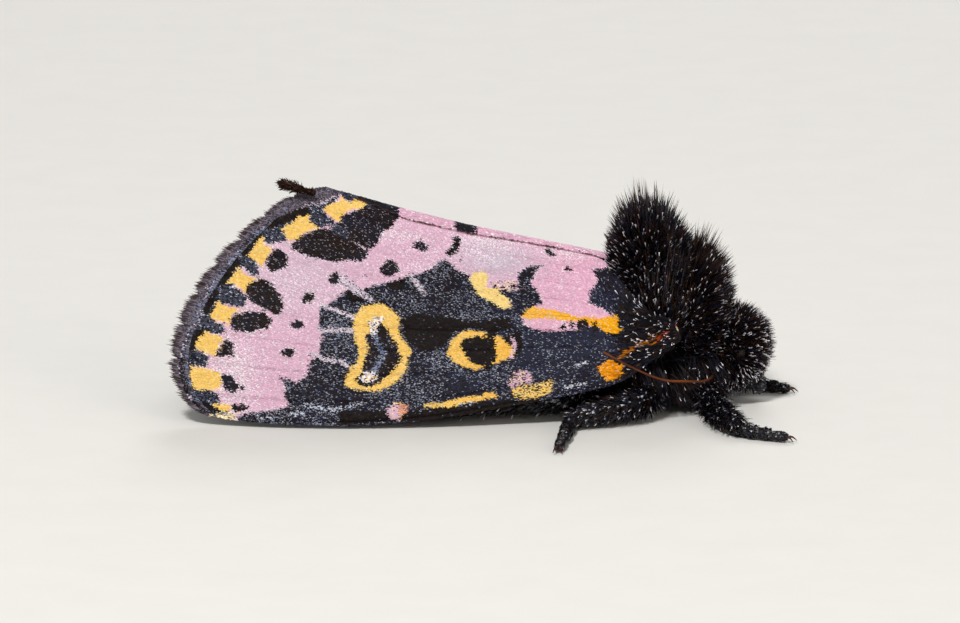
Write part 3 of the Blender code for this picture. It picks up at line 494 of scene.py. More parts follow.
def wingColours(points, ragged, grain):
    # colour of the wing at each point; ragged moves the marks' edges, grain varies single scales
    places = inPhoto(points)
    dice = np.random.default_rng(5)
    column, row = (place + dice.normal(0, ragged, len(place)) for place in places)
    colour, kind = wingMarks(column, row)
    if not grain:
        return colour
    farColumn, farRow = (place + dice.normal(0, 3.4, len(place)) for place in places)
    besideDark = (kind == 0) & np.isin(wingMarks(farColumn, farRow)[1], (1, 4, 5, 7))
    picks = dice.random(len(column))
    second = dice.random(len(column))
    third = dice.random(len(column))

    for value, low, high, shade in strayScales:
        colour[(kind == value) & (picks >= low) & (picks < high)] = shades[shade]
    dark = kind == 1
    bluish = np.interp(places[0], [300, 420, 520, 640], [0.34, 0.3, 0.55, 0.7])
    bluish = np.clip(bluish * (1 + 0.6 * blotches(points, 3.0, 17)), 0.1, 0.85)
    colour[dark & (picks < bluish)] = shades["navy"]
    colour[dark & (picks > 1 - 0.28 * (1 - bluish))] = shades["umber"] * 0.8
    # pale frost and steel scales on the dark fields: partly pale scales, partly painted glints
    frost = np.interp(places[0], [300, 440, 520, 600], [0.18, 0.22, 0.14, 0.06])
    frost = np.clip(frost * (1 + 0.6 * blotches(points, 2.2, 9)), 0.03, 0.36)
    frosted = dark & (second < frost)
    colour[frosted] = shades["frost"] * dice.uniform(0.25, 0.95, (frosted.sum(), 1))
    colour[dark & (second > 1 - 0.5 * frost)] = shades["steel"]
    colour[(kind == 7) & (third < 0.3 * (1 + blotches(points, 1.6, 23)))] = shades["blueBlack"]
    colour[(kind == 7) & (second < 0.1)] = shades["ashen"] * 0.6
    pale = besideDark & (second > 0.5) | (second < 0.05 * (1 + blotches(points, 2.2, 4)))
    for middle, level, wide, high, strength in mists:
        near = np.clip(1.25 - np.hypot((column - middle) / wide, (row - level) / high), 0, 1)
        pale |= third < near * strength * 1.5
    for line in faintVeins:
        pale |= nearLine(column, row, line, 1.3) & (third < 0.5)
    colour[(kind == 0) & pale] = shades["white"]
    colour *= dice.uniform(0.82, 1.12, (len(column), 1))
    return np.clip(colour, 0, 1)


def wingSkin(name, wing, side, colouring, replaced):
    # a thin closed plate with ridged veins
    columns, rows = wing["grid"]
    bm = bmesh.new()
    bmesh.ops.create_grid(bm, x_segments=columns, y_segments=rows, size=0.5)
    outer = bm.verts[:]
    made = bmesh.ops.extrude_face_region(bm, geom=bm.faces[:], use_keep_orig=True)
    inner = [g for g in made["geom"] if isinstance(g, bmesh.types.BMVert)]
    for verts, raised in ((outer, 0.0), (inner, -wing["thick"])):
        spots = np.array([v.co[:2] for v in verts]) + 0.5
        places = wingPlace(wing, side, spots[:, 1] * wing["fringe"], spots[:, 0], raised)
        for vert, place in zip(verts, places):
            vert.co = place * mm
    bmesh.ops.remove_doubles(bm, verts=bm.verts, dist=1e-7)
    mesh = meshFromBmesh(name, bm, 1.0)
    paintMesh(mesh, colouring(meshPlaces(mesh)))
    addPiece(name, mesh, wingUnder, replaced, smooth=True)


lowest = 0.012  # no tip goes through the floor
markEdge = 0.9  # how far the marks' edges wander, in the photo's pixels
shellFaces = {  # triangles of one shell, by the number of its corners: 4 for a scale, 7 for a hair
    4: np.array([(0, 1, 2), (0, 3, 1), (1, 3, 2), (2, 3, 0)]),
    7: np.array([(0, 2, 1), (0, 1, 4), (0, 4, 3), (1, 2, 5), (1, 5, 4), (2, 0, 3), (2, 3, 5), (3, 4, 6),
                 (4, 5, 6), (5, 3, 6)]),
}
patchTurn, patchSize = 2.399, 0.0015  # a shell's corners lie in a small spiral on the unwrap


def scaleShapes(roots, along, normal, length, width, lift):
    # thin, blunt-ended scales of four triangles, each a closed shell
    count = len(roots)
    yaw = chance.normal(0, 0.16, count)[:, None]
    roll = chance.normal(0, 0.16, count)[:, None]
    tilt = (lift + chance.normal(0, 0.05, count))[:, None]
    beside = np.cross(normal, along)
    heading = unit(along * np.cos(yaw) + beside * np.sin(yaw) + normal * tilt)
    beside = unit(np.cross(normal, heading) + normal * roll)
    upward = np.cross(heading, beside)
    long = (length * chance.uniform(0.82, 1.15, count))[:, None]
    wide = (width * chance.uniform(0.85, 1.15, count))[:, None]
    shapes = np.empty((count, 4, 3))
    shapes[:, 0] = roots - normal * 0.004
    shapes[:, 1] = roots + heading * long + beside * wide * 0.5
    shapes[:, 2] = roots + heading * long - beside * wide * 0.5
    shapes[:, 3] = roots + heading * long * 0.62 + upward * width * 0.22
    return shapes


def addCoat(name, shapes, colours, unwrapped, material, slot):
    # many small shells as one mesh, each with a small patch of the unwrap at its root's own place
    count, corners = shapes.shape[:2]
    faces = shellFaces[corners]
    triangles = (faces[None] + np.arange(count)[:, None, None] * corners).reshape(-1, 3)
    mesh = bpy.data.meshes.new(name)
    mesh.vertices.add(count * corners)
    mesh.vertices.foreach_set("co", (shapes * mm).astype(np.float32).ravel())
    mesh.loops.add(triangles.size)
    mesh.loops.foreach_set("vertex_index", triangles.astype(np.int32).ravel())
    mesh.polygons.add(len(triangles))
    mesh.polygons.foreach_set("loop_start", np.arange(0, triangles.size, 3, dtype=np.int32))
    mesh.update(calc_edges=True)
    if colours.ndim == 2:
        colours = colours[:, None]
    paintMesh(mesh, np.broadcast_to(colours, shapes.shape).reshape(-1, 3))
    ring = np.array([(math.cos(a), math.sin(a)) for a in np.arange(corners) * patchTurn]) * patchSize
    patches = (unwrapped[:, None, :] + ring[None]).reshape(-1, 2)
    unwrap = mesh.uv_layers.new(name="OFBake")
    unwrap.data.foreach_set("uv", patches[triangles.ravel()].astype(np.float32).ravel())
    addPiece(name, mesh, material)


def wingRoots(wing, side, first, last):
    # staggered rows of roots over the wing's outer face
    length = 18.6 if wing is foreWing else 12.5
    rows = int(length * (last - first) / wing["pitch"][0])
    alongs, acrosses = [], []
    for i in range(rows):
        along = first + (last - first) * (i + 0.5) / rows
        edge = wingPlace(wing, side, np.full(24, along), np.linspace(0, 1, 24))
        breadth = np.linalg.norm(np.diff(edge, axis=0), axis=1).sum()
        count = max(6, int(breadth / wing["pitch"][1]))
        across = (np.arange(count) + 0.25 + 0.5 * (i % 2)) / count
        alongs.append(along + chance.normal(0, 0.0012, count))
        acrosses.append(np.clip(across + chance.normal(0, 0.25 / count, count), 0.001, 0.999))
    return np.concatenate(alongs), np.concatenate(acrosses)


def wingFrames(wing, side, along, across):
    step = 0.004
    place = wingPlace(wing, side, along, across)
    onward = unit(wingPlace(wing, side, along + step, across) - wingPlace(wing, side, along - step, across))
    sideways = unit(wingPlace(wing, side, along, across + step) - wingPlace(wing, side, along, across - step))
    normal = unit(np.cross(onward, sideways))
    normal *= np.sign(normal[:, 1:2] * side + 1e-9)
    return place, onward, normal


def smallGlints(shapes, colours, plain):
    # single scales paler than their mark show only a narrow tip; these pale scales stand partly for painted
    # glints
    paler = colours.mean(axis=1) > plain.mean(axis=1) * 1.25 + 0.02
    size = np.where(paler, 0.66, 1.0)[:, None, None]
    tips = (shapes[:, 1:2] + shapes[:, 2:3]) / 2
    return tips + (shapes - tips) * size


def scaleCoat(name, wing, side, colouring, material, slot, lift, first=0.0, last=None):
    along, across = wingRoots(wing, side, first, last or wing["fringe"] + 0.004)
    place, onward, normal = wingFrames(wing, side, along, across)
    shapes = scaleShapes(place, onward, normal, wing["scale"][0], wing["scale"][1], lift)
    marked, markedOnward, _ = wingFrames(wing, -1, along, across)
    middles = marked + markedOnward * wing["scale"][0] * 0.5
    colours = colouring(middles)
    if wing is foreWing:
        shapes = smallGlints(shapes, colours, wingColours(middles, markEdge, False))
    addCoat(name, shapes, colours, np.stack([along, across], -1), material, slot)


def needleShapes(roots, heading, bend, flatSide, length, width, thick):
    # flattened bristles that bend and run to a point, each a closed shell of ten triangles
    length, width = length[:, None], np.broadcast_to(width, len(roots))[:, None]
    beside = unit(np.cross(heading, flatSide))
    upward = unit(np.cross(beside, heading))
    shapes = np.empty((len(roots), 7, 3))
    for ring, (share, size) in enumerate(((-0.08, 0.9), (0.5, 1.0))):
        centre = roots + heading * length * share + bend * length * max(share, 0) ** 2
        shapes[:, 3 * ring] = centre + beside * width * size * 0.5
        shapes[:, 3 * ring + 1] = centre - beside * width * size * 0.5
        shapes[:, 3 * ring + 2] = centre + upward * width * size * thick
    shapes[:, 6] = roots + heading * length + bend * length
    return shapes


def hairPiece(name, roots, heading, bend, flatSide, length, width, colours, unwrapped, material):
    shapes = needleShapes(roots, heading, bend, flatSide, length, width, 0.35)
    shapes[:, :, 2] = np.maximum(shapes[:, :, 2], lowest)
    addCoat(name, shapes, colours, unwrapped, material, "black_coat")


# Materials


def addTexture(tree, kind, **inputs):
    # a texture that keeps its place on the piece
    place = addNode(tree, "ShaderNodeTexCoord")
    return addNode(tree, kind, inputs, {"Vector": place.outputs["Object"]}).outputs


def addRamp(tree, shader, value, low, high):
    ramp = addNode(tree, "ShaderNodeValToRGB", {}, {"Fac": value})
    ramp.color_ramp.elements[0].color = (*linearColour(low), 1)
    ramp.color_ramp.elements[1].color = (*linearColour(high), 1)
    tree.links.new(ramp.outputs["Color"], shader.inputs["Base Color"])


def addBump(tree, shader, height, strength, depth, inverted=False):
    bump = addNode(tree, "ShaderNodeBump", {"Strength": strength, "Distance": depth}, {"Height": height},
                   invert=inverted)
    tree.links.new(bump.outputs["Normal"], shader.inputs["Normal"])


def scaleMaterial(name, roughness, specular):
    # moth scales: dusty chitin, matt in the mass but with a dry sparkle on single scales
    material, tree, shader = startMaterial(name)
    marks = addNode(tree, "ShaderNodeAttribute", attribute_name="markColour")
    grain = addTexture(tree, "ShaderNodeTexNoise", Scale=5200.0, Detail=2.0)["Fac"]
    tone = addNode(tree, "ShaderNodeMapRange", {"To Min": 0.86, "To Max": 1.12}, {"Value": grain})
    mixed = addNode(tree, "ShaderNodeVectorMath", {}, {0: marks.outputs["Color"]}, operation="SCALE")
    tree.links.new(tone.outputs["Result"], mixed.inputs["Scale"])
    tree.links.new(mixed.outputs["Vector"], shader.inputs["Base Color"])
    dull = addNode(tree, "ShaderNodeMapRange", {"To Min": roughness - 0.08, "To Max": roughness + 0.1},
                   {"Value": grain})
    tree.links.new(dull.outputs["Result"], shader.inputs["Roughness"])
    shader.inputs["Specular IOR Level"].default_value = specular
    return material


wingScales = scaleMaterial("wing_scales", 0.5, 0.1)
wingUnder = scaleMaterial("wing_membrane", 0.6, 0.3)
bodyBristles = scaleMaterial("body_bristles", 0.26, 0.5)
darkScales = scaleMaterial("dark_scales", 0.62, 0.18)


def skinMaterial():
    # the body's dark cuticle under the coat: brown-black, faintly pitted
    material, tree, shader = startMaterial("dark_cuticle")
    patches = addTexture(tree, "ShaderNodeTexNoise", Scale=900.0, Detail=4.0)
    pits = addTexture(tree, "ShaderNodeTexVoronoi", Scale=9000.0)
    addRamp(tree, shader, patches["Fac"], "#0c0a0a", "#241d1c")
    addBump(tree, shader, pits["Distance"], 0.4, 0.00002)
    shader.inputs["Roughness"].default_value = 0.5
    return material


def antennaMaterial():
    # amber-brown cuticle in fine rings, with a dull, waxy shine
    material, tree, shader = startMaterial("amber_cuticle")
    marks = addNode(tree, "ShaderNodeAttribute", attribute_name="markColour")
    grain = addTexture(tree, "ShaderNodeTexNoise", Scale=3000.0, Detail=3.0)
    tree.links.new(marks.outputs["Color"], shader.inputs["Base Color"])
    addBump(tree, shader, grain["Fac"], 0.35, 0.00002)
    shader.inputs["Roughness"].default_value = 0.52
    shader.inputs["Specular IOR Level"].default_value = 0.25
    return material


def eyeMaterial():
    # compound eye: thousands of small lenses over near-black brown
    material, tree, shader = startMaterial("compound_eye")
    lenses = addTexture(tree, "ShaderNodeTexVoronoi", Scale=14000.0, Randomness=0.25)
    addBump(tree, shader, lenses["Distance"], 0.8, 0.00003, True)
    addRamp(tree, shader, lenses["Distance"], "#2b1a14", "#0b0706")
    shader.inputs["Roughness"].default_value = 0.32
    shader.inputs["Specular IOR Level"].default_value = 0.3
    return material


cuticle = skinMaterial()
amber = antennaMaterial()
eyeLens = eyeMaterial()
print("materials made")

# Wings
sides = (("right", -1), ("left", 1))


def foreColours(points):
    return wingColours(points, markEdge, True)


def foreSkinColours(points):
    marks = wingColours(points, 0.0, False) * 0.8
    outerFace = roofDistance(points[:, 0], points[:, 2]) - foreWing["inset"]
    marks[np.abs(points[:, 1]) < outerFace - foreWing["thick"] * 0.2] = shades["charcoal"]
    return marks


def hindColours(points):
    tone = 0.75 + 0.25 * blotches(points, 2.0, 12)
    return shades["charcoal"] * np.clip(tone, 0.4, 1.2)[:, None]


for word, side in sides:
    wingSkin("forewing_skin_" + word, foreWing, side, foreSkinColours, ["forewing_" + word])
    wingSkin("hindwing_skin_" + word, hindWing, side, hindColours, ["hindwing_" + word])
    for part, first, last in (("outer", 0.56, None), ("inner", 0.0, 0.56)):
        scaleCoat(f"forewing_scales_{word}_{part}", foreWing, side, foreColours, wingScales, "pink_scales",
                  0.16, first, last)
    scaleCoat("hindwing_scales_" + word, hindWing, side, hindColours, darkScales, "charcoal_scales", 0.14)


def lapPlace(x, share):
    # the far wing's margin from its own side, over the top and down on the near wing
    top, drop = heightAt(ridge["top"], x), heightAt(ridge["lap"], x)
    drop = drop * np.clip((x - ridge["from"]) / ridge["taper"], 0.05, 1)
    startZ, endZ = top - 0.5, top - drop
    start = np.stack([x, roofDistance(x, startZ) + 0.02, startZ], -1)
    crown = np.stack([x, np.zeros_like(x), top + 0.3], -1)
    end = np.stack([x, -roofDistance(x, endZ) - 0.045, endZ], -1)
    t = share[:, None]
    return start * (1 - t) ** 2 + 2 * crown * t * (1 - t) + end * t ** 2


def lapColours(points, share):
    column, row = inPhoto(points)
    column = column + chance.normal(0, 1.2, len(column))
    colour = np.tile(shades["magenta"] * 0.85 + shades["ashen"] * 0.1, (len(points), 1))
    picks = chance.random(len(points))
    colour[picks < 0.08] = shades["white"]
    dark = (column < 402) | insideOutline(column, row, lapSpot)
    colour[dark] = shades["black"]
    colour[dark & (picks < 0.4)] = shades["blueBlack"]
    colour[dark & (picks > 0.96)] = shades["steel"]
    # the lap's lowest edge in dark brown: dark margin scales and painted shade of the gap beneath
    colour[share > 0.975] = shades["brown"]
    return colour * chance.uniform(0.8, 1.15, (len(points), 1))


def lapPieces():
    reach = ridge["to"] - ridge["from"]
    bm = bmesh.new()
    bmesh.ops.create_grid(bm, x_segments=14, y_segments=120, size=0.5)
    spots = np.array([v.co[:2] for v in bm.verts]) + 0.5
    for vert, place in zip(bm.verts, lapPlace(ridge["from"] + spots[:, 1] * reach, spots[:, 0])):
        vert.co = place * mm
    bmesh.ops.recalc_face_normals(bm, faces=bm.faces)
    bmesh.ops.solidify(bm, geom=bm.faces[:], thickness=ridge["thick"] * mm)
    mesh = meshFromBmesh("wing_lap_skin", bm, 1.0)
    made = meshPlaces(mesh)
    paintMesh(mesh, lapColours(made, np.zeros(len(made))) * 0.8)
    addPiece("wing_lap_skin", mesh, wingUnder, smooth=True)

    x = chance.uniform(ridge["from"], ridge["to"], ridge["scales"])
    share = chance.uniform(0, 1, ridge["scales"])
    place = lapPlace(x, share)
    onward = unit(lapPlace(x - 0.02, share) - lapPlace(x + 0.02, share))
    sideways = unit(lapPlace(x, share + 0.01) - lapPlace(x, share - 0.01))
    normal = unit(np.cross(sideways, onward))
    normal *= np.sign(normal[:, 2:3] + 0.3)
    shapes = scaleShapes(place, onward, normal, *foreWing["scale"], 0.14)
    unwrapped = np.stack([(x - ridge["from"]) / reach, share * 0.1], -1)
    addCoat("wing_lap_scales", shapes, lapColours(place, share), unwrapped, wingScales, "pink_scales")


lapPieces()


fringe = {
    "layers": (  # start and end as shares of the wing's length, count, width, shades of roots and of tips
        (0.963, 0.977, 1100, 0.055, ("fringe", "fringeDark", "fringeDark", "steel"), "fringeDark"),
        (0.966, 0.986, 1300, 0.05, ("fringe", "fringeDark", "fringeDark"), "fringe"),
        (0.970, 0.996, 1700, 0.055, ("fringeDark", "fringe", "umber"), "fringeTip"),
    ),
    "scallops": 9,
}


def fringePiece(name, side):
    # long narrow scales along the hind edge, in three layers of length
    layers = []
    for layer, (start, end, count, width, rootShades, tipShade) in enumerate(fringe["layers"]):
        across = (np.arange(count) + chance.uniform(0, 1, count)) / count
        root = wingPlace(foreWing, side, np.full(count, start), across, 0.02 - 0.012 * layer)
        scallop = (across * fringe["scallops"]) % 1 - 0.5
        dented = 0.012 * np.abs(scallop * 2) ** 6 + 0.012 * np.clip((across - 0.75) / 0.2, 0, 1)
        reach = end + chance.normal(0, 0.004, count) - dented
        edge = (wingPlace(foreWing, side, np.full(count, 1.0), across, -0.02) - root) / (1.0 - start)
        tip = root + edge * (reach - start)[:, None]
        lean = unit(np.gradient(tip, axis=0)) * (0.25 * scallop)[:, None]
        flatSide = np.tile([0.0, side, 0.35], (count, 1)) + chance.normal(0, 0.25, (count, 3))
        bend = -lean + chance.normal(0, 0.03, (count, 3))
        length = np.linalg.norm(tip - root, axis=1)
        shapes = needleShapes(root, unit(tip - root), bend, unit(flatSide), length, width, 0.2)
        rootColours = np.array([shades[shade] for shade in rootShades])
        colour = np.repeat(rootColours[chance.integers(0, len(rootShades), count)][:, None], 7, axis=1)
        colour[:, 6:] = colour[:, 6:] * 0.35 + shades[tipShade] * 0.65
        colour *= chance.uniform(0.6, 1.15, (count, 1, 1))
        layers.append((shapes, colour, np.stack([np.full(count, start), across], -1)))
    addCoat(name, *(np.concatenate(parts) for parts in zip(*layers)), wingScales, "pink_scales")


tuft = {"from": (-6.3, -0.5, 8.2), "to": (-7.75, -0.72, 8.68), "count": 620, "width": 0.05, "length": 0.32}


def tuftPiece():
    # the twisted brown tuft of fringe at the near wing's hind corner
    count = tuft["count"]
    share = chance.random(count)
    low, high = np.array(tuft["from"]), np.array(tuft["to"])
    onward = unit(high - low)
    turn = share * 5.0 + chance.uniform(0, 2 * math.pi, count)
    swollen = 0.3 + 0.7 * np.clip((share - 0.3) / 0.25, 0, 1) * (0.8 + 0.2 * np.cos(share * 22.0))
    girth = (0.2 * swollen * chance.random(count) ** 0.5)[:, None]
    beside = unit(np.cross(onward, [0, 1, 0]))
    ring = np.cos(turn)[:, None] * beside + np.sin(turn)[:, None] * np.cross(onward, beside)
    roots = low + (high - low) * (share * 0.9)[:, None] + ring * girth
    heading = unit(onward + ring * 0.5 + chance.normal(0, 0.45, (count, 3)))
    length = tuft["length"] * chance.uniform(0.4, 1.0, count)
    shapes = needleShapes(roots, heading, -ring * 0.25, unit(ring + 0.01), length, tuft["width"], 0.25)
    colour = np.where(chance.random((count, 1)) < 0.22, shades["brown"], shades["umber"]) * 0.8
    colour = colour[:, None] * chance.uniform(0.5, 1.3, (count, 1, 1))
    unwrapped = np.stack([0.9 + share * 0.05, 0.9 + turn * 0.005], -1)
    addCoat("tornus_tuft", shapes, colour, unwrapped, wingScales, "pink_scales")


tuftPiece()
for word, side in sides:
    fringePiece("fringe_" + word, side)
print("wings made")

# Body
body = {
    "thorax": ((5.6, 0.0, 2.8), (2.3, 2.2, 2.3)),
    "crest": ((6.35, 0.0, 4.75), (1.4, 1.5, 2.1)),
    "wingRootRight": ((6.9, -1.45, 3.2), (0.95, 1.0, 0.85)),
    "wingRootLeft": ((6.9, 1.45, 3.2), (0.95, 1.0, 0.85)),
    "collar": ((8.3, 0.0, 3.2), (0.95, 1.7, 2.1)),
    "head": ((9.95, 0.0, 2.1), (0.9, 1.05, 1.25)),
}
reaches = {
    "crest": [((6.4, 0.0, 5.6), (1.75, 2.1, 3.4)), ((7.0, 0.0, 4.6), (1.85, 2.6, 3.35))],
    "breast": [((6.9, 0.0, 1.5), (2.9, 4.2, 2.6))],
    "collar": [((8.55, 0.0, 4.2), (1.45, 2.6, 3.05)), ((8.6, 0.0, 2.3), (1.4, 2.85, 2.1))],
    "underCollar": [((8.4, 0.0, 1.8), (1.6, 3.4, 2.6))],
    "head": [((9.95, 0.0, 2.3), (1.52, 2.0, 1.8)), ((9.2, 0.0, 2.1), (1.2, 2.8, 1.6))],
    "face": [((9.9, 0.0, 1.7), (1.2, 1.75, 1.55))],
}
abdomenRings = [(3.4, 0.3), (2.9, 1.1), (2.0, 1.45), (0.7, 1.53), (-0.7, 1.53), (-2.1, 1.45), (-3.5, 1.3),
                (-4.8, 1.1), (-5.9, 0.82), (-6.8, 0.45), (-7.0, 0.05)]
legPaths = {
    "foreleg_right": [(8.6, -1.0, 1.1, 0.42), (8.75, -2.2, 0.7, 0.42), (8.9, -3.4, 0.45, 0.37),
                      (9.15, -4.8, 0.48, 0.42), (9.6, -6.0, 0.4, 0.36), (10.1, -6.7, 0.27, 0.24),
                      (10.8, -7.1, 0.22, 0.21), (11.6, -7.5, 0.2, 0.17)],
    "foreleg_left": [(8.5, 0.9, 1.5, 0.42), (8.95, 1.9, 1.2, 0.44), (9.7, 2.1, 0.8, 0.4),
                     (10.4, 1.75, 0.4, 0.3), (10.75, 1.6, 0.26, 0.24), (11.3, 1.35, 0.22, 0.21),
                     (11.9, 1.1, 0.2, 0.17)],
    "midleg_right": [(6.2, -1.0, 1.2, 0.45), (6.4, -2.5, 0.95, 0.45), (6.2, -3.7, 0.85, 0.44),
                     (5.6, -4.3, 0.72, 0.42), (4.6, -4.75, 0.55, 0.38), (3.7, -5.15, 0.4, 0.32),
                     (3.4, -5.7, 0.26, 0.24), (3.2, -7.3, 0.22, 0.21), (2.95, -9.3, 0.2, 0.17)],
    "hindleg_right": [(4.6, -0.9, 1.1, 0.42), (3.9, -2.2, 0.8, 0.42), (3.0, -3.0, 0.75, 0.4),
                      (1.2, -3.3, 0.7, 0.35), (-0.8, -3.3, 0.42, 0.3), (-1.5, -3.3, 0.26, 0.23),
                      (-3.4, -3.35, 0.22, 0.2), (-5.2, -3.4, 0.2, 0.16)],
}
for name in ("midleg", "hindleg"):
    legPaths[name + "_left"] = [(x, -y, z, radius) for x, y, z, radius in legPaths[name + "_right"]]
eye = {
    "centre": (9.95, 0.66, 2.05), "radii": (0.45, 0.54, 0.5),
    "bareCentre": 1.0, "bareRadii": (0.2, 0.8, 0.2),  # the field round each eye without bristles
}
palpPath = [(10.15, -0.45, 1.2, 0.26), (10.6, -0.48, 0.75, 0.26), (10.85, -0.48, 0.55, 0.16)]
antennaPath = [(9.5, -0.9, 3.1), (9.2, -1.4, 2.8), (9.05, -1.8, 2.15), (8.95, -2.25, 1.55),
               (8.6, -2.85, 1.38), (7.9, -3.6, 1.52), (6.9, -4.15, 1.72), (5.7, -4.5, 2.3), (4.7, -4.7, 2.9)]


def tube(bm, line, radii, segments):
    # a round rod swept along the line inside bm
    ahead = unit(np.gradient(line, axis=0))
    made = bmesh.ops.create_circle(bm, cap_ends=True, segments=segments, radius=1.0)
    ring = made["verts"]
    face = ring[0].link_faces[0]
    side = Vector(ahead[0]).orthogonal().normalized()
    for i, place in enumerate(line):
        forward = Vector(ahead[i])
        side = (side - forward * side.dot(forward)).normalized()
        other = forward.cross(side)
        if i:
            made = bmesh.ops.extrude_face_region(bm, geom=[face])
            face = [g for g in made["geom"] if isinstance(g, bmesh.types.BMFace)][0]
            if i > 1:
                bmesh.ops.delete(bm, geom=[old], context="FACES_ONLY")
        old = face
        corners = [loop.vert for loop in face.loops]
        for k, vert in enumerate(corners):
            turn = 2 * math.pi * k / segments
            vert.co = Vector(place) + (side * math.cos(turn) + other * math.sin(turn)) * float(radii[i])


def ellipsoid(bm, core):
    centre, radii = core
    made = bmesh.ops.create_icosphere(bm, subdivisions=4, radius=1.0)
    bmesh.ops.scale(bm, vec=radii, verts=made["verts"])
    bmesh.ops.translate(bm, vec=centre, verts=made["verts"])


def legLine(points, steps=6):
    line = smoothLine([p[:3] for p in points], steps)
    shares = np.linspace(0, len(points) - 1, len(line))
    radii = np.interp(shares, np.arange(len(points)), [p[3] for p in points])
    foot = len(line) - 2 * steps - 1
    for i in range(max(foot, 0), len(line)):
        radii[i] *= 1.12 - 0.3 * ((i - foot) % 4 == 0)  # the foot's short segments
    line[:, 2] = np.maximum(line[:, 2], radii + 0.01)
    return line, radii


def bodyPiece():
    # one skin over head, trunk, abdomen, palps and legs
    bm = bmesh.new()
    for core in body.values():
        ellipsoid(bm, core)
    for points in legPaths.values():
        tube(bm, *legLine(points), 14)
    for side in (1, -1):
        tube(bm, *legLine([(x, side * y, z, radius) for x, y, z, radius in palpPath]), 12)
    rings = smoothLine(abdomenRings, 6)
    grooves = np.abs(np.sin(np.linspace(0, math.pi * (len(abdomenRings) - 1), len(rings))))
    line = np.stack([rings[:, 0], np.zeros(len(rings)), np.full(len(rings), abdomenAxis)], -1)
    tube(bm, line, np.maximum(rings[:, 1] * (0.95 + 0.06 * grooves), 0.04), 32)
    rough = bpy.data.objects.new("body_rough", meshFromBmesh("body_rough", bm, 1.0))
    bpy.context.scene.collection.objects.link(rough)
    remesh = rough.modifiers.new("one_surface", "REMESH")
    remesh.mode = "VOXEL"
    remesh.voxel_size = 0.11
    even = rough.modifiers.new("even", "SMOOTH")
    even.factor = 0.5
    even.iterations = 4
    bpy.context.view_layer.update()
    skin = bpy.data.meshes.new_from_object(rough.evaluated_get(bpy.context.evaluated_depsgraph_get()))
    bpy.data.objects.remove(rough)
    skin.name = "body_skin"
    skin.transform(Matrix.Scale(mm, 4))
    replaced = ["thorax", "collar", "head", "abdomen", "palp_right", "palp_left", *legPaths]
    return addPiece("body_skin", skin, cuticle, replaced, smooth=True)


abdomenAxis = 1.95  # height of the abdomen's middle line
bodySkin = bodyPiece()


def skinSamples(piece, count, seed):
    # points spread by area over a skin, with their normals
    mesh = piece.data
    mesh.calc_loop_triangles()
    corners = np.empty(len(mesh.loop_triangles) * 3, np.int32)
    mesh.loop_triangles.foreach_get("vertices", corners)
    corners = meshPlaces(mesh)[corners.reshape(-1, 3)]
    cross = np.cross(corners[:, 1] - corners[:, 0], corners[:, 2] - corners[:, 0])
    area = np.linalg.norm(cross, axis=1)
    dice = np.random.default_rng(seed)
    chosen = dice.choice(len(corners), count, p=area / area.sum())
    a, b = dice.random(count)[:, None], dice.random(count)[:, None]
    a, b = np.where(a + b > 1, 1 - a, a), np.where(a + b > 1, 1 - b, b)
    first, second, third = corners[chosen].transpose(1, 0, 2)
    return first + a * (second - first) + b * (third - first), unit(cross[chosen])


def reachAlong(start, heading, reach):
    farthest = np.zeros(len(start))
    for centre, radii in reach:
        offset, radii = start - np.array(centre), np.array(radii)
        a = ((heading / radii) ** 2).sum(1)
        b = 2 * (heading * offset / radii ** 2).sum(1)
        c = ((offset / radii) ** 2).sum(1) - 1
        inside = b * b - 4 * a * c
        leaves = (-b + np.sqrt(np.maximum(inside, 0))) / (2 * a)
        farthest = np.maximum(farthest, np.where(inside > 0, leaves, 0))
    return farthest


def insideCore(points, core, grow=0.0):
    centre, radii = core
    return (((points - np.array(centre)) / (np.array(radii) + grow)) ** 2).sum(1) < 1


def crossesWing(roots, tips):
    # true where a hair that starts under a wing would come out through it
    column = tips[:, 0]
    low, high = heightAt(foreWing["costa"], column), heightAt(foreWing["dorsum"], column)
    covered = (tips[:, 2] > low - 0.05) & (tips[:, 2] < high + 0.05) & (column < 7.7)
    return covered & (np.abs(tips[:, 1]) > roofDistance(tips[:, 0], tips[:, 2]) - 0.22) & (
        np.abs(roots[:, 1]) < roofDistance(roots[:, 0], roots[:, 2]))


def bristleColours(count, brownShare):
    # black to brown-black, one colour for each corner of a bristle
    colour = np.tile(shades["black"], (count, 7, 1)) * 0.8
    picks = chance.random(count)
    colour[picks < 0.35] = shades["blueBlack"]
    colour[picks > 1 - brownShare, 3:] = shades["umber"]
    colour[picks > 1 - brownShare * 0.6, 6:] = shades["brown"]
    return colour * chance.uniform(0.55, 1.15, (count, 1, 1))


allRoots, allNormals = skinSamples(bodySkin, 420000, 3)
glints = []  # roots, headings and normals of short white slivers that paint highlights on the bristles
longestDroop = 0.6  # of a bristle that hangs although its coat lies upward or forward


def alongBody(roots, turn):
    # place on the unwrap: along the body from tail to head, and round it
    return np.stack([(roots[:, 0] + 12) / 25, turn], -1)


def turnOf(normals):
    return np.arctan2(normals[:, 1], normals[:, 2]) / 6.3 + 0.5


def addGlints(places, heading, normals, unwrapped, lit):
    glints.append((places, heading, normals[lit], unwrapped[lit]))


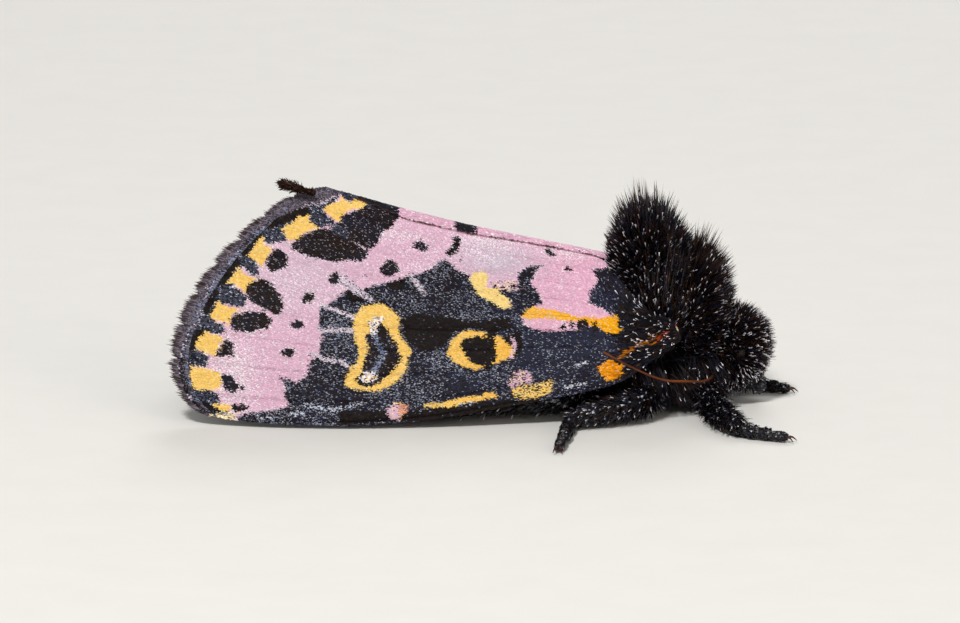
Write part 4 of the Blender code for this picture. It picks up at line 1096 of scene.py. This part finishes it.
def bodyHair(name, wanted, reach, look):
    dice = np.random.default_rng(look["seed"])
    picks = np.flatnonzero(wanted(allRoots))
    dice.shuffle(picks)
    picks = picks[:look["count"] * 2]
    roots, normals = allRoots[picks], allNormals[picks]
    # neighbours lean together, so that the coat parts into small tufts
    swayed = np.stack([blotches(roots, look["tuft"], look["seed"] * 3 + k) for k in range(3)], -1)
    away = unit(normals + look["lean"] * look["lie"] + 0.28 * swayed + dice.normal(0, 0.12, roots.shape))
    length = reachAlong(roots, away, reach)
    toFloor = (roots[:, 2] - 0.06) / np.maximum(-away[:, 2], 1e-3)
    length = np.where(away[:, 2] < -0.05, np.minimum(length, toFloor), length)
    shortest, longest = look["mass"]
    guard = dice.random(len(picks)) < look["guards"]
    guardShare = dice.uniform(longest, 1.0, len(picks))
    share = np.where(guard, guardShare, dice.uniform(shortest, longest, len(picks)))
    share = np.clip(share * (1 + 0.2 * blotches(roots, 0.55, look["seed"] + 50)), 0.1, 1.0)
    length = length * share
    drooping = (away[:, 2] < -0.45) & (look["lie"][2] > 0)
    length[drooping] = np.minimum(length[drooping], longestDroop)
    bend = look["lie"] * 0.35 + dice.normal(0, 0.09, roots.shape)
    heading = away - bend
    tips = roots + away * length[:, None]
    good = (length > 0.12) & ~crossesWing(roots, tips) & (tips[:, 2] > 0.03)
    good &= ~crossesWing(roots, roots + heading * length[:, None] * 0.6)
    good = np.flatnonzero(good)[:look["count"]]
    roots, normals, heading = roots[good], normals[good], heading[good]
    bend, length = bend[good], length[good]
    unwrapped = alongBody(roots, np.arctan2(roots[:, 1], roots[:, 2] - 2.5) / (2 * math.pi) + 0.5)
    wide = look["width"] * dice.uniform(0.7, 1.3, len(good)) * np.where(guard[good], 0.9, 1.0)
    hairPiece(name, roots, heading, bend, unit(normals + dice.normal(0, 0.3, normals.shape)), length, wide,
              bristleColours(len(good), look["brown"]), unwrapped, look.get("material", bodyBristles))
    # some bristles carry a white sliver that paints a highlight
    lit = np.flatnonzero((dice.random(len(good)) < look["glints"]) & (share[good] > 0.45))
    t = dice.uniform(0.55, 0.85, len(lit))[:, None]
    long = length[lit, None]
    places = roots[lit] + heading[lit] * long * t + bend[lit] * long * t * t
    addGlints(places, unit(heading[lit] + 2 * bend[lit] * t), normals, unwrapped, lit)


upward = unit(np.array([-0.25, 0.0, 1.0]))
forward = unit(np.array([0.55, 0.0, 0.8]))
ahead = unit(np.array([1.0, 0.0, 0.15]))
downward = unit(np.array([0.1, 0.0, -1.0]))
backward = np.array([-1.0, 0.0, 0.0])


def onCrest(p):
    return ((insideCore(p, body["crest"], 0.15) | insideCore(p, body["thorax"], 0.15)
             | insideCore(p, body["wingRootRight"], 0.1) | insideCore(p, body["wingRootLeft"], 0.1))
            & (p[:, 2] > 3.2) & (p[:, 0] < 8.1))


def onCollar(p):
    return insideCore(p, body["collar"], 0.12) & (p[:, 2] > 1.1)


def onHead(p):
    grown = insideCore(p, body["head"], 0.12)
    x, y, z = eye["centre"]
    for _, side in sides:
        grown &= ~insideCore(p, ((x, side * eye["bareCentre"], z), eye["bareRadii"]))
    return grown


def onFace(p):
    return insideCore(p, body["head"], 0.12) & (p[:, 2] < 1.7)


def onUnderCollar(p):
    return insideCore(p, body["collar"], 0.12) & (p[:, 2] < 2.4)


def onBreast(p):
    return insideCore(p, body["thorax"], 0.12) & (p[:, 2] <= 3.4)


coats = [  # name, where it grows, how far it reaches, and how it looks
    ("crest_hair", onCrest, "crest", {
        "lie": upward, "lean": 0.3, "count": 12500, "width": 0.062, "mass": (0.36, 0.72), "guards": 0.14,
        "brown": 0.4, "tuft": 0.9, "glints": 0.1, "seed": 4}),
    ("crest_underhair", onCrest, "crest", {
        "lie": upward, "lean": 0.6, "count": 3800, "width": 0.11, "mass": (0.3, 0.66), "guards": 0.0,
        "brown": 0.0, "tuft": 0.9, "glints": 0.03, "seed": 5}),
    ("collar_hair", onCollar, "collar", {
        "lie": forward, "lean": 0.3, "count": 10500, "width": 0.06, "mass": (0.4, 0.73), "guards": 0.14,
        "brown": 0.4, "tuft": 0.8, "glints": 0.1, "seed": 6}),
    ("head_hair", onHead, "head", {
        "lie": ahead, "lean": 0.35, "count": 8000, "width": 0.055, "mass": (0.38, 0.74), "guards": 0.16,
        "brown": 0.5, "tuft": 0.6, "glints": 0.13, "seed": 7}),
    ("breast_hair", onBreast, "breast", {
        "lie": downward, "lean": 0.5, "count": 5500, "width": 0.065, "mass": (0.7, 1.0), "guards": 0.0,
        "brown": 0.2, "tuft": 0.8, "glints": 0.07, "seed": 8, "material": darkScales}),
    ("collar_underhair", onUnderCollar, "underCollar", {
        "lie": downward, "lean": 0.6, "count": 3600, "width": 0.055, "mass": (0.6, 1.0), "guards": 0.0,
        "brown": 0.2, "tuft": 0.8, "glints": 0.08, "seed": 9, "material": darkScales}),
    ("face_hair", onFace, "face", {
        "lie": downward, "lean": 0.6, "count": 2600, "width": 0.055, "mass": (0.45, 0.9), "guards": 0.1,
        "brown": 0.4, "tuft": 0.6, "glints": 0.12, "seed": 10}),
]
for name, wanted, reach, look in coats:
    bodyHair(name, wanted, reaches[reach], look)


wingBase = {"count": 2600, "length": 0.62, "width": 0.075, "seed": 12}


def wingBaseHair(word, side):
    # the black pile on each forewing's base, which thins out over its marks
    dice = np.random.default_rng(wingBase["seed"])
    count = wingBase["count"] * 3
    along, across = dice.uniform(0.004, 0.2, count) ** 1.15, dice.uniform(0.02, 0.98, count)
    place, onward, normal = wingFrames(foreWing, side, along, across)
    dense = np.clip((place[:, 0] - 5.0) / 1.4, 0, 1)
    marks, kind = wingMarks(*inPhoto(place))
    bright = np.isin(kind, (2, 3, 6)) & (place[:, 0] > 4.6) & (place[:, 2] < 3.3)
    keep = (dice.random(count) < dense) & ((kind == 1) | (kind == 4) | (place[:, 0] > 7.2))
    keep = np.flatnonzero(keep | (bright & (dice.random(count) < 0.6)))[:wingBase["count"]]
    place, onward, normal, along, across = place[keep], onward[keep], normal[keep], along[keep], across[keep]
    colours = bristleColours(len(keep), 0.15)
    marks, bright = marks[keep], bright[keep]
    colours[bright] = marks[bright][:, None] * dice.uniform(0.7, 1.1, (bright.sum(), 1, 1))
    heading = unit(onward * 0.7 + normal * 0.6 + dice.normal(0, 0.16, place.shape))
    length = wingBase["length"] * dice.uniform(0.5, 1.0, len(keep))
    length *= 0.5 + 0.5 * np.clip(place[:, 0] - 5.4, 0, 1)
    unwrapped = np.stack([along, across], -1)
    bend = -normal * 0.3 + onward * 0.15
    width = wingBase["width"] * dice.uniform(0.7, 1.3, len(keep))
    hairPiece("wing_base_hair_" + word, place - normal * 0.02, heading, bend, normal, length, width, colours,
              unwrapped, darkScales)
    lit = np.flatnonzero(dice.random(len(keep)) < 0.04)
    addGlints(place[lit] + heading[lit] * length[lit, None] * 0.6, heading[lit], normal, unwrapped, lit)


for word, side in sides:
    wingBaseHair(word, side)


def limbRoots(line, radii, lowestRoot, count, dice):
    # samples of the skin close to a limb, and the step of its line nearest to each
    near = ((allRoots > line.min(0) - 0.5) & (allRoots < line.max(0) + 0.5)).all(1)
    boxed = np.flatnonzero(near & (allRoots[:, 2] > lowestRoot))
    gaps = np.linalg.norm(allRoots[None, boxed] - line[:, None, :], axis=2)
    nearest = gaps.argmin(0)
    close = gaps.min(0) < radii[nearest] + 0.14
    boxed, nearest = boxed[close], nearest[close]
    order = dice.permutation(len(boxed))[:count]
    picks, nearest = boxed[order], nearest[order]
    return allRoots[picks], allNormals[picks], unit(np.gradient(line, axis=0))[nearest], nearest


def limbScales(name, path, look, seed):
    # short scales that lie flat along a leg or palp
    dice = np.random.default_rng(seed)
    line, radii = legLine(path)
    length = look["length"]
    roots, normals, lie, nearest = limbRoots(line, radii, -1.0, look["count"], dice)
    lie = unit(lie - normals * (lie * normals).sum(1, keepdims=True))
    slim = np.clip(radii[nearest] / 0.36, 0.45, 1.1)
    good = (roots[:, 2] > 0.05) & (roots[:, 2] + lie[:, 2] * length > 0.03)
    roots, normals, lie, slim, nearest = roots[good], normals[good], lie[good], slim[good], nearest[good]
    shapes = scaleShapes(roots, lie, normals, length * slim, look["width"], 0.2)
    shapes[:, :, 2] = np.maximum(shapes[:, :, 2], lowest)
    colour = bristleColours(len(roots), 0.2)[:, :4]
    # pale frost scales, most on the thick parts, are painted glints on the legs and palps
    colour[dice.random(len(roots)) < look["pale"] * slim ** 3] = shades["frost"] * 0.8
    unwrapped = np.stack([nearest / len(line), turnOf(normals)], -1)
    addCoat(name, shapes, colour, unwrapped, bodyBristles, "black_coat")


# pale: share of pale scales that paint glints
legScales = {"count": 4200, "length": 0.26, "width": 0.085, "pale": 0.075}
palpScales = {"count": 900, "length": 0.3, "width": 0.08, "pale": 0.2}
for index, (name, path) in enumerate(legPaths.items()):
    limbScales(name + "_scales", path, legScales, 30 + index)
for word, side in sides:
    palp = [(x, -side * y, z, radius) for x, y, z, radius in palpPath]
    limbScales("palp_scales_" + word, palp, palpScales, 40 + side)
legBristles = {"reach": 0.62, "length": (0.25, 0.62), "width": 0.05, "count": 1300}


def limbHair(name, path, seed):
    # slanting bristles on a leg's thigh and shin
    dice = np.random.default_rng(seed)
    line, radii = legLine(path)
    steps = int(len(line) * legBristles["reach"])
    line, radii = line[:steps], radii[:steps]
    roots, normals, lie, nearest = limbRoots(line, radii, 0.3, legBristles["count"], dice)
    heading = unit(lie * 0.75 + normals * 0.6 + dice.normal(0, 0.18, roots.shape) - np.array([0, 0, 0.25]))
    length = dice.uniform(*legBristles["length"], len(roots)) * np.clip(radii[nearest] / 0.4, 0.5, 1.1)
    toFloor = (roots[:, 2] - 0.05) / np.maximum(-heading[:, 2], 1e-3)
    length = np.minimum(length, np.where(heading[:, 2] < 0, toFloor, 9))
    good = np.flatnonzero((length > 0.1) & ~crossesWing(roots, roots + heading * length[:, None]))
    unwrapped = np.stack([nearest / len(line), turnOf(normals)], -1)
    hairPiece(name, roots[good], heading[good], lie[good] * 0.12, normals[good], length[good],
              legBristles["width"], bristleColours(len(good), 0.3), unwrapped[good], bodyBristles)
    lit = good[dice.random(len(good)) < 0.1]
    addGlints(roots[lit] + heading[lit] * length[lit, None] * 0.6, heading[lit], normals, unwrapped, lit)


for index, (name, path) in enumerate(legPaths.items()):
    limbHair(name + "_hair", path, 60 + index)


belly = {"from": 3.2, "halfWidth": 1.8, "radius": 1.75, "count": 5600, "length": 0.55, "width": 0.2}


def abdomenScales():
    dice = np.random.default_rng(9)
    fromAxis = np.hypot(allRoots[:, 1], allRoots[:, 2] - abdomenAxis)
    near = (allRoots[:, 0] < belly["from"]) & (np.abs(allRoots[:, 1]) < belly["halfWidth"])
    picks = dice.permutation(np.flatnonzero(near & (fromAxis < belly["radius"])))[:belly["count"]]
    roots, normals = allRoots[picks], allNormals[picks]
    lie = unit(backward - normals * (normals @ backward)[:, None])
    shapes = scaleShapes(roots, lie, normals, belly["length"], belly["width"], 0.16)
    tone = np.clip(0.8 + 0.4 * blotches(roots, 1.6, 14), 0.5, 1.4)[:, None]
    unwrapped = alongBody(roots, turnOf(normals))
    addCoat("abdomen_scales", shapes, shades["charcoal"] * tone, unwrapped, darkScales, "charcoal_scales")


abdomenScales()


def paintedGlintSlivers():
    # short, pale, shiny slivers scattered through the coat: painted highlights on the bristles
    roots, heading, normals, unwrapped = (np.concatenate(parts) for parts in zip(*glints))
    normals = unit(normals - heading * (normals * heading).sum(1, keepdims=True))
    shapes = scaleShapes(roots + normals * 0.035, heading, normals, 0.2, 0.04, 0.0)
    colour = np.where(chance.random((len(roots), 1)) < 0.6, shades["white"], shades["frost"] * 0.8)
    addCoat("coat_painted_glints", shapes, colour, unwrapped, bodyBristles, "black_coat")


paintedGlintSlivers()
print("body made")

# Antennae, eyes and claws


antenna = {"radius": 0.052, "thinning": 0.014, "rings": 62, "swollenSteps": 8, "swelling": 1.5, "bareFrom": 0.4}


def antennaPiece(word, side):
    line = smoothLine([(x, side * -y, z) for x, y, z in antennaPath], 28)
    share = np.linspace(0, 1, len(line))
    rings = 0.9 + 0.1 * np.abs(np.sin(share * math.pi * antenna["rings"]))
    radii = (antenna["radius"] - antenna["thinning"] * np.clip((share - 0.5) / 0.5, 0, 1)) * rings
    radii[:antenna["swollenSteps"]] *= np.linspace(antenna["swelling"], 1.0, antenna["swollenSteps"])
    bm = bmesh.new()
    tube(bm, line, radii, 12)
    mesh = meshFromBmesh("antenna", bm)
    places = meshPlaces(mesh)
    nearest = np.linalg.norm(places[:, None] - line[None], axis=2).argmin(1)
    tone = 0.55 + 0.45 * rings[nearest][:, None]
    # the start is clad in black scales
    bare = np.clip((share[nearest] - antenna["bareFrom"]) / 0.12, 0, 1)[:, None]
    cover = shades["black"] * (1 - bare) + shades["horn"] * bare
    paintMesh(mesh, np.clip(cover * tone * (0.75 + 0.35 * blotches(places, 1.5, 2)[:, None]), 0, 1))
    addPiece("antenna_piece_" + word, mesh, amber, ["antenna_" + word], smooth=True)


def eyePiece(word, side):
    bm = bmesh.new()
    x, y, z = eye["centre"]
    ellipsoid(bm, ((x, side * y, z), eye["radii"]))
    mesh = meshFromBmesh("eye", bm)
    addPiece("eye_piece_" + word, mesh, eyeLens, ["eye_" + word], smooth=True)


for word, side in sides:
    antennaPiece(word, side)
    eyePiece(word, side)


claw = {"length": 0.34, "spread": 0.12, "arch": 0.08, "drop": 0.1, "thick": 0.065, "tip": 0.012, "steps": 7}


def clawPiece():
    t = np.linspace(0, 1, claw["steps"])[:, None]
    curve = np.array([0, 0, 1]) * (claw["arch"] * np.sin(math.pi * t) - claw["drop"] * t)
    bm = bmesh.new()
    for points in legPaths.values():
        line, radii = legLine(points)
        onward = unit(line[-1] - line[-3])
        beside = unit(np.cross(onward, [0, 0, 1]))
        for way in (-1, 1):
            arc = line[-1] + onward * claw["length"] * t + beside * way * (0.05 + claw["spread"] * t) + curve
            arc[:, 2] = np.maximum(arc[:, 2], 0.05)
            tube(bm, arc, np.linspace(claw["thick"], claw["tip"], claw["steps"]), 8)
    mesh = meshFromBmesh("claws", bm)
    paintMesh(mesh, shades["claw"])
    addPiece("claws", mesh, amber, smooth=True)


clawPiece()
print("details made")

# Floor, light and camera
scene = bpy.context.scene


def plainFloor():
    bm = bmesh.new()
    bmesh.ops.create_grid(bm, x_segments=1, y_segments=1, size=1.5)
    mesh = bpy.data.meshes.new("floor")
    bm.to_mesh(mesh)
    bm.free()
    floor = bpy.data.objects.new("floor", mesh)
    scene.collection.objects.link(floor)
    material, tree, shader = startMaterial("pale_card")  # matt studio card
    grain = addTexture(tree, "ShaderNodeTexNoise", Scale=400.0, Detail=3.0)
    addRamp(tree, shader, grain["Fac"], "#d6d3cd", "#dcd9d3")
    shader.inputs["Roughness"].default_value = 0.8
    mesh.materials.append(material)


def addLight(name, place, size, watts, tint):
    light = bpy.data.lights.new(name, "AREA")
    light.shape = "DISK"
    light.size = size
    light.energy = watts
    light.color = linearColour(tint)
    lamp = bpy.data.objects.new(name, light)
    lamp.location = place
    lamp.rotation_euler = (Vector((0, 0, 0.004)) - Vector(place)).to_track_quat("-Z", "Y").to_euler()
    scene.collection.objects.link(lamp)


plainFloor()
addLight("key", (-0.08, -0.22, 0.30), 0.06, 1.15, "#ffffff")
addLight("fill", (0.25, -0.30, 0.15), 0.22, 0.3, "#fff6ee")
addLight("rim", (0.05, 0.30, 0.22), 0.2, 0.5, "#ffffff")
world = bpy.data.worlds.new("studio")
world.use_nodes = True
world.node_tree.nodes["Background"].inputs["Color"].default_value = (*linearColour("#eef0f2"), 1)
world.node_tree.nodes["Background"].inputs["Strength"].default_value = 0.36
scene.world = world

camera = bpy.data.objects.new("camera", bpy.data.cameras.new("camera"))
camera.data.sensor_width = 36.0
camera.data.lens = 36.0 * photo["distance"] / photo["frameWidth"]
camera.data.clip_start = 0.02
camera.data.clip_end = 10.0
back = Vector((0, -math.cos(photo["elevation"]), math.sin(photo["elevation"])))
camera.location = Vector((0, 0, photo["aimHeight"] * mm)) + back * photo["distance"] * mm
camera.rotation_mode = "QUATERNION"
camera.rotation_quaternion = (-back).to_track_quat("-Z", "Y")
scene.collection.objects.link(camera)
scene.camera = camera
scene.view_settings.view_transform = "Standard"
